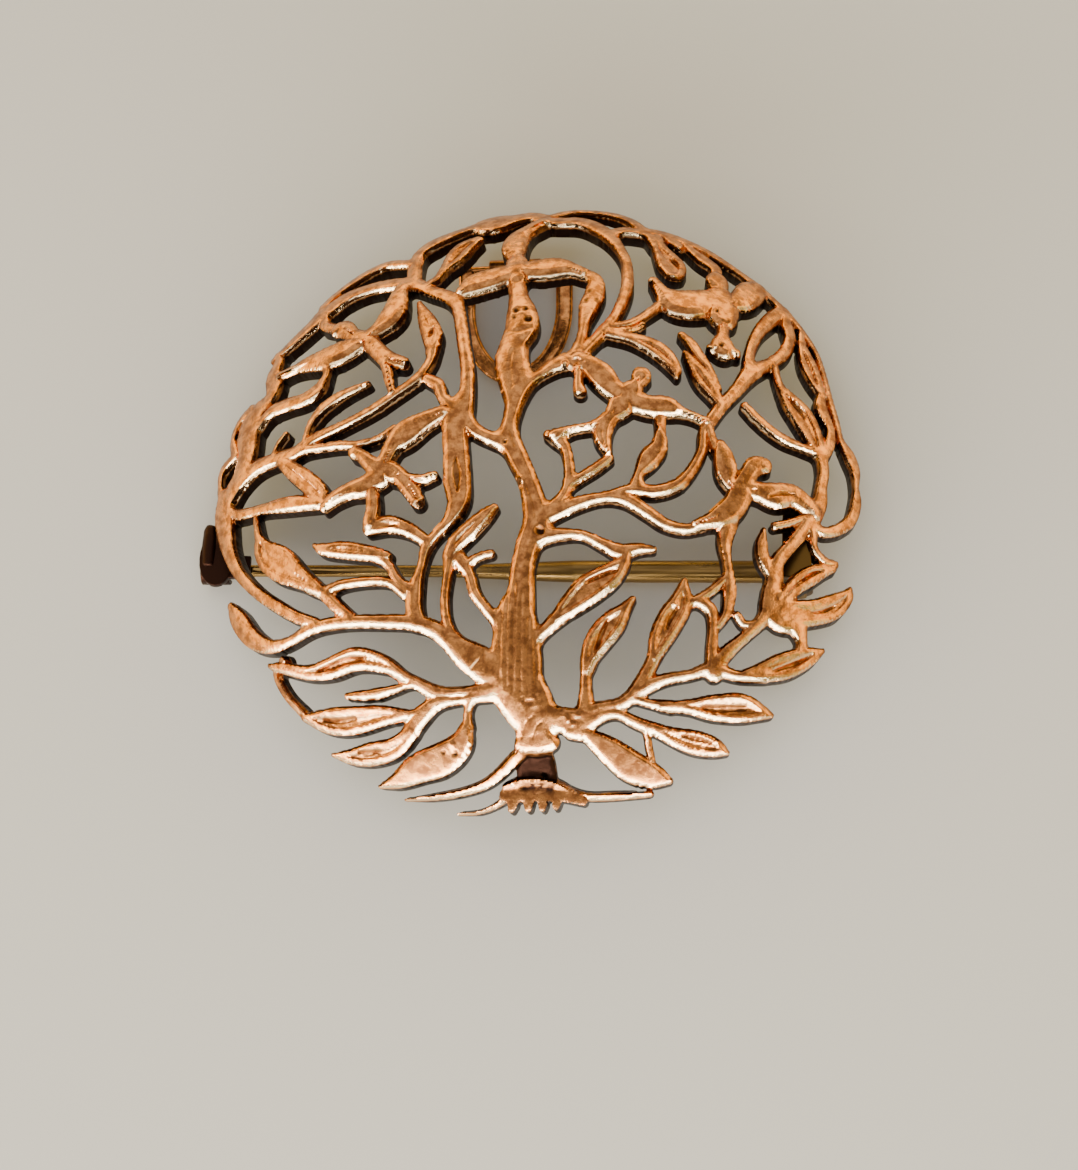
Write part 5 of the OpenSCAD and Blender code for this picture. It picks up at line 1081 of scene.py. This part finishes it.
class BROOCH_OT_bail(bpy.types.Operator):
    """Bend the bail from a rounded band round its bar"""

    bl_idname = "brooch.bail"
    bl_label = "Bail"

    def execute(self, context):
        parts = Parts(bail_place())
        half, length, bend = 3.15, 7.45, 4.75
        band_half, thick_half, roundness = 0.55, 0.3, 0.7
        section = [[half_size * math.copysign(abs(part)**roundness, part)
                    for half_size, part in zip((band_half, thick_half), point)] for point in circle(1.0, 20)]
        arm = [(half, -(length - bend) * k / 8) for k in range(8)]
        curve = [(half * x, bend - length + bend * y) for x, y in arc(1.0, 0, -180, 48)]
        path = arm + curve + [(-x, y) for x, y in arm[::-1]]
        loops = []
        for i, (x, y) in enumerate(path):
            before, after = path[max(i - 1, 0)], path[min(i + 1, len(path) - 1)]
            way = Vector((after[0] - before[0], after[1] - before[1])).normalized()
            out = Vector((-way.y, way.x)) if i else Vector((1, 0))
            loops.append([(x + wide * out.x, y + wide * out.y, high) for wide, high in section])
        parts.tube(loops)
        eye = [(-0.3, 0.42), (-0.24, 0.52), (0.24, 0.52), (0.3, 0.42)]
        for side in (-1, 1):
            parts.turned([(side * half + along * 1.4, radius * 0.62) for along, radius in eye], sides=32)
        parts.turned([(-half, 0.3), (half, 0.3)], sides=24)
        parts.softened(0.04, segments=2, degrees=60)
        material = copper_material("bail copper", brooch_settings().finish)
        put(parts.mesh("bail_band", patina_and_shade=0.12), "bail_band", material, "copper", "bail", "bail")
        return {"FINISHED"}


class BROOCH_OT_pin(bpy.types.Operator):
    """Polish the pin and its rivet"""

    bl_idname = "brooch.pin"
    bl_label = "Pin and rivet"

    def execute(self, context):
        material = brass_material("pin brass", brooch_settings().finish, 0.25)
        for name in ("pin_stem", "hinge_rivet"):
            node = frame["nodes"][name]
            node.data.materials.clear()
            node.data.materials.append(material)
        return {"FINISHED"}


def shone(name, power):
    """A soft rectangular light that looks at the brooch."""
    way, distance, size, tint = LIGHTS[name]
    light = bpy.data.lights.new(name, "AREA")
    light.shape = "RECTANGLE"
    light.size, light.size_y = size
    light.energy = power
    light.color = tint
    lamp = bpy.data.objects.new(name, light)
    bpy.context.scene.collection.objects.link(lamp)
    away = Vector(way).normalized()
    lamp.location = away * distance
    lamp.rotation_euler = away.to_track_quat("Z", "Y").to_euler()


def pale_floor(settings):
    bm = bmesh.new()
    bmesh.ops.create_grid(bm, x_segments=2, y_segments=2, size=1.5)
    mesh = bpy.data.meshes.new("floor")
    bm.to_mesh(mesh)
    bm.free()
    floor = bpy.data.objects.new("floor", mesh)
    bpy.context.scene.collection.objects.link(floor)
    material, tree, shader = blank_material("pale floor")
    feed(tree, shader.inputs["Base Color"], settings.floor)
    shader.inputs["Roughness"].default_value = 0.7
    mesh.materials.append(material)


def studio(settings):
    """Even light from all round, and pale walls that glow low down behind and beside the brooch."""
    world = bpy.data.worlds.new("studio")
    world.use_nodes = True
    tree = world.node_tree
    place = tree.nodes.new("ShaderNodeTexCoord")
    split = add_node(tree, "ShaderNodeSeparateXYZ", Vector=place.outputs["Generated"])
    low = ranged(tree, split.outputs["Z"], *WALLS_END, 1.0, 0.0)
    behind = ranged(tree, split.outputs["Y"], *WALLS_BEGIN, 0.0, settings.glow)
    background = tree.nodes["Background"]
    feed(tree, background.inputs["Color"], mixed_colour(tree, low, AIR_COLOUR, WALL_COLOUR))
    feed(tree, background.inputs["Strength"], reckoned(tree, "MULTIPLY_ADD", low, behind, settings.fill))
    bpy.context.scene.world = world


def photo_camera():
    """A camera where the photo was taken from."""
    lens = bpy.data.cameras.new("camera")
    lens.sensor_width = SENSOR
    lens.lens = LENS
    lens.shift_y = FRAME_SHIFT
    lens.clip_start, lens.clip_end = 0.01, 10.0
    camera = bpy.data.objects.new("camera", lens)
    back = Vector(CAMERA_WAY).normalized()
    right = Vector((0, 1, 0)).cross(back).normalized()
    turn = Matrix((right, back.cross(right), back)).transposed().to_4x4()
    camera.matrix_world = Matrix.Translation(Vector((0, 0, AIM * MM)) + back * CAMERA_FAR) @ turn
    bpy.context.scene.collection.objects.link(camera)
    bpy.context.scene.camera = camera


class BROOCH_OT_stage(bpy.types.Operator):
    """Lay the floor, and set up the soft lights and the camera"""

    bl_idname = "brooch.stage"
    bl_label = "Floor, lights and camera"

    def execute(self, context):
        settings = brooch_settings().stage
        pale_floor(settings)
        shone("front light", settings.front_power)
        shone("high light", settings.high_power)
        shone("top light", settings.top_power)
        studio(settings)
        photo_camera()
        return {"FINISHED"}


class CastingSettings(bpy.types.PropertyGroup):
    """Sizes of the casting"""

    grid_step: FloatProperty(name="Grid step", description="Spacing of the points that make the tops",
                             default=0.00009, min=0.00006, max=0.0004, precision=5, unit="LENGTH")
    spread: FloatProperty(name="Spread", description="How far the boughs' edges stand outside the chart",
                          default=0.00008, min=0.0, max=0.0004, precision=5, unit="LENGTH")
    narrow_spread: FloatProperty(name="Narrow spread", description="The same for the trunk, leaves and doves",
                                 default=0.00004, min=0.00001, max=0.0004, precision=5, unit="LENGTH")
    bevel: FloatProperty(name="Bevel", description="Width of the slanted edge along every limb",
                         default=0.00036, min=0.0001, max=0.0005, precision=5, unit="LENGTH")
    relief: FloatProperty(name="Relief", description="How far the doves stand proud",
                          default=0.00028, min=0.0001, max=0.0005, precision=5, unit="LENGTH")
    groove: FloatProperty(name="Groove", description="Depth of the slits along the leaves",
                          default=0.00016, min=0.0001, max=0.0006, precision=5, unit="LENGTH")


def colour(name, description, default):
    return FloatVectorProperty(name=name, description=description, default=default, size=3, min=0.0, max=1.0,
                               subtype="COLOR")


class FinishSettings(bpy.types.PropertyGroup):
    """Colours and polish of the metals"""

    # Bright copper is wear and a painted highlight on the edges that face the front
    copper_bright: colour("Bright copper", "The edges that wear has polished", (0.98, 0.78, 0.5))
    copper_rose: colour("Rose copper", "The clean copper of the tops", (0.92, 0.375, 0.115))
    copper_brown: colour("Brown copper", "The mottling of the tops", (0.38, 0.14, 0.045))
    # The patina colour also paints shade on the walls, the edges that face away and the middles of the tops
    patina_and_shade: colour("Patina", "The darkened walls and recesses", (0.03, 0.013, 0.009))
    brass: colour("Brass", "The pin where it is bright", (0.5, 0.31, 0.11))
    tarnish: colour("Tarnish", "The pin where it has browned", (0.14, 0.075, 0.02))
    roughness: FloatProperty(name="Roughness", description="Roughness of the bright copper", default=0.16,
                             min=0.05, max=0.8, subtype="FACTOR")


class StageSettings(bpy.types.PropertyGroup):
    """Floor and lights"""

    floor: colour("Floor", "The pale floor", (0.7, 0.7, 0.71))
    front_power: FloatProperty(name="Front light", description="Power of the low soft light in front",
                               default=4.9, min=0.0, max=100.0, unit="POWER")
    high_power: FloatProperty(name="High light", description="Power of the higher strip of light in front",
                              default=0.5, min=0.0, max=100.0, unit="POWER")
    top_power: FloatProperty(name="Top light", description="Power of the soft light overhead",
                             default=0.9, min=0.0, max=100.0, unit="POWER")
    fill: FloatProperty(name="Fill", description="Strength of the even light from all round", default=0.45,
                        min=0.0, max=5.0)
    glow: FloatProperty(name="Glow", description="Strength of the studio walls behind and beside the brooch",
                        default=2.9, min=0.0, max=10.0)


class BroochSettings(bpy.types.PropertyGroup):
    """All settings of the brooch"""

    casting: PointerProperty(type=CastingSettings)
    finish: PointerProperty(type=FinishSettings)
    stage: PointerProperty(type=StageSettings)


OPERATORS = (BROOCH_OT_stage, BROOCH_OT_casting, BROOCH_OT_hinge, BROOCH_OT_catch, BROOCH_OT_pin,
             BROOCH_OT_bail_tube, BROOCH_OT_bail)


class BROOCH_PT_sidebar(bpy.types.Panel):
    """The brooch's pieces and settings"""

    bl_label = "Tree of life brooch"
    bl_idname = "BROOCH_PT_sidebar"
    bl_space_type = "VIEW_3D"
    bl_region_type = "UI"
    bl_category = "Brooch"

    def draw(self, context):
        settings = context.scene.brooch
        for group in (settings.casting, settings.finish, settings.stage):
            box = self.layout.box()
            for name in group.__annotations__:
                box.prop(group, name)
        for operator in OPERATORS:
            self.layout.operator(operator.bl_idname)


CLASSES = (CastingSettings, FinishSettings, StageSettings, BroochSettings, *OPERATORS, BROOCH_PT_sidebar)


def register():
    for made in CLASSES:
        bpy.utils.register_class(made)
    bpy.types.Scene.brooch = PointerProperty(type=BroochSettings)


def unregister():
    del bpy.types.Scene.brooch
    for made in reversed(CLASSES):
        bpy.utils.unregister_class(made)


def main():
    register()
    for operator in OPERATORS:
        group, name = operator.bl_idname.split(".")
        getattr(getattr(bpy.ops, group), name)()


if __name__ == "__main__":
    main()
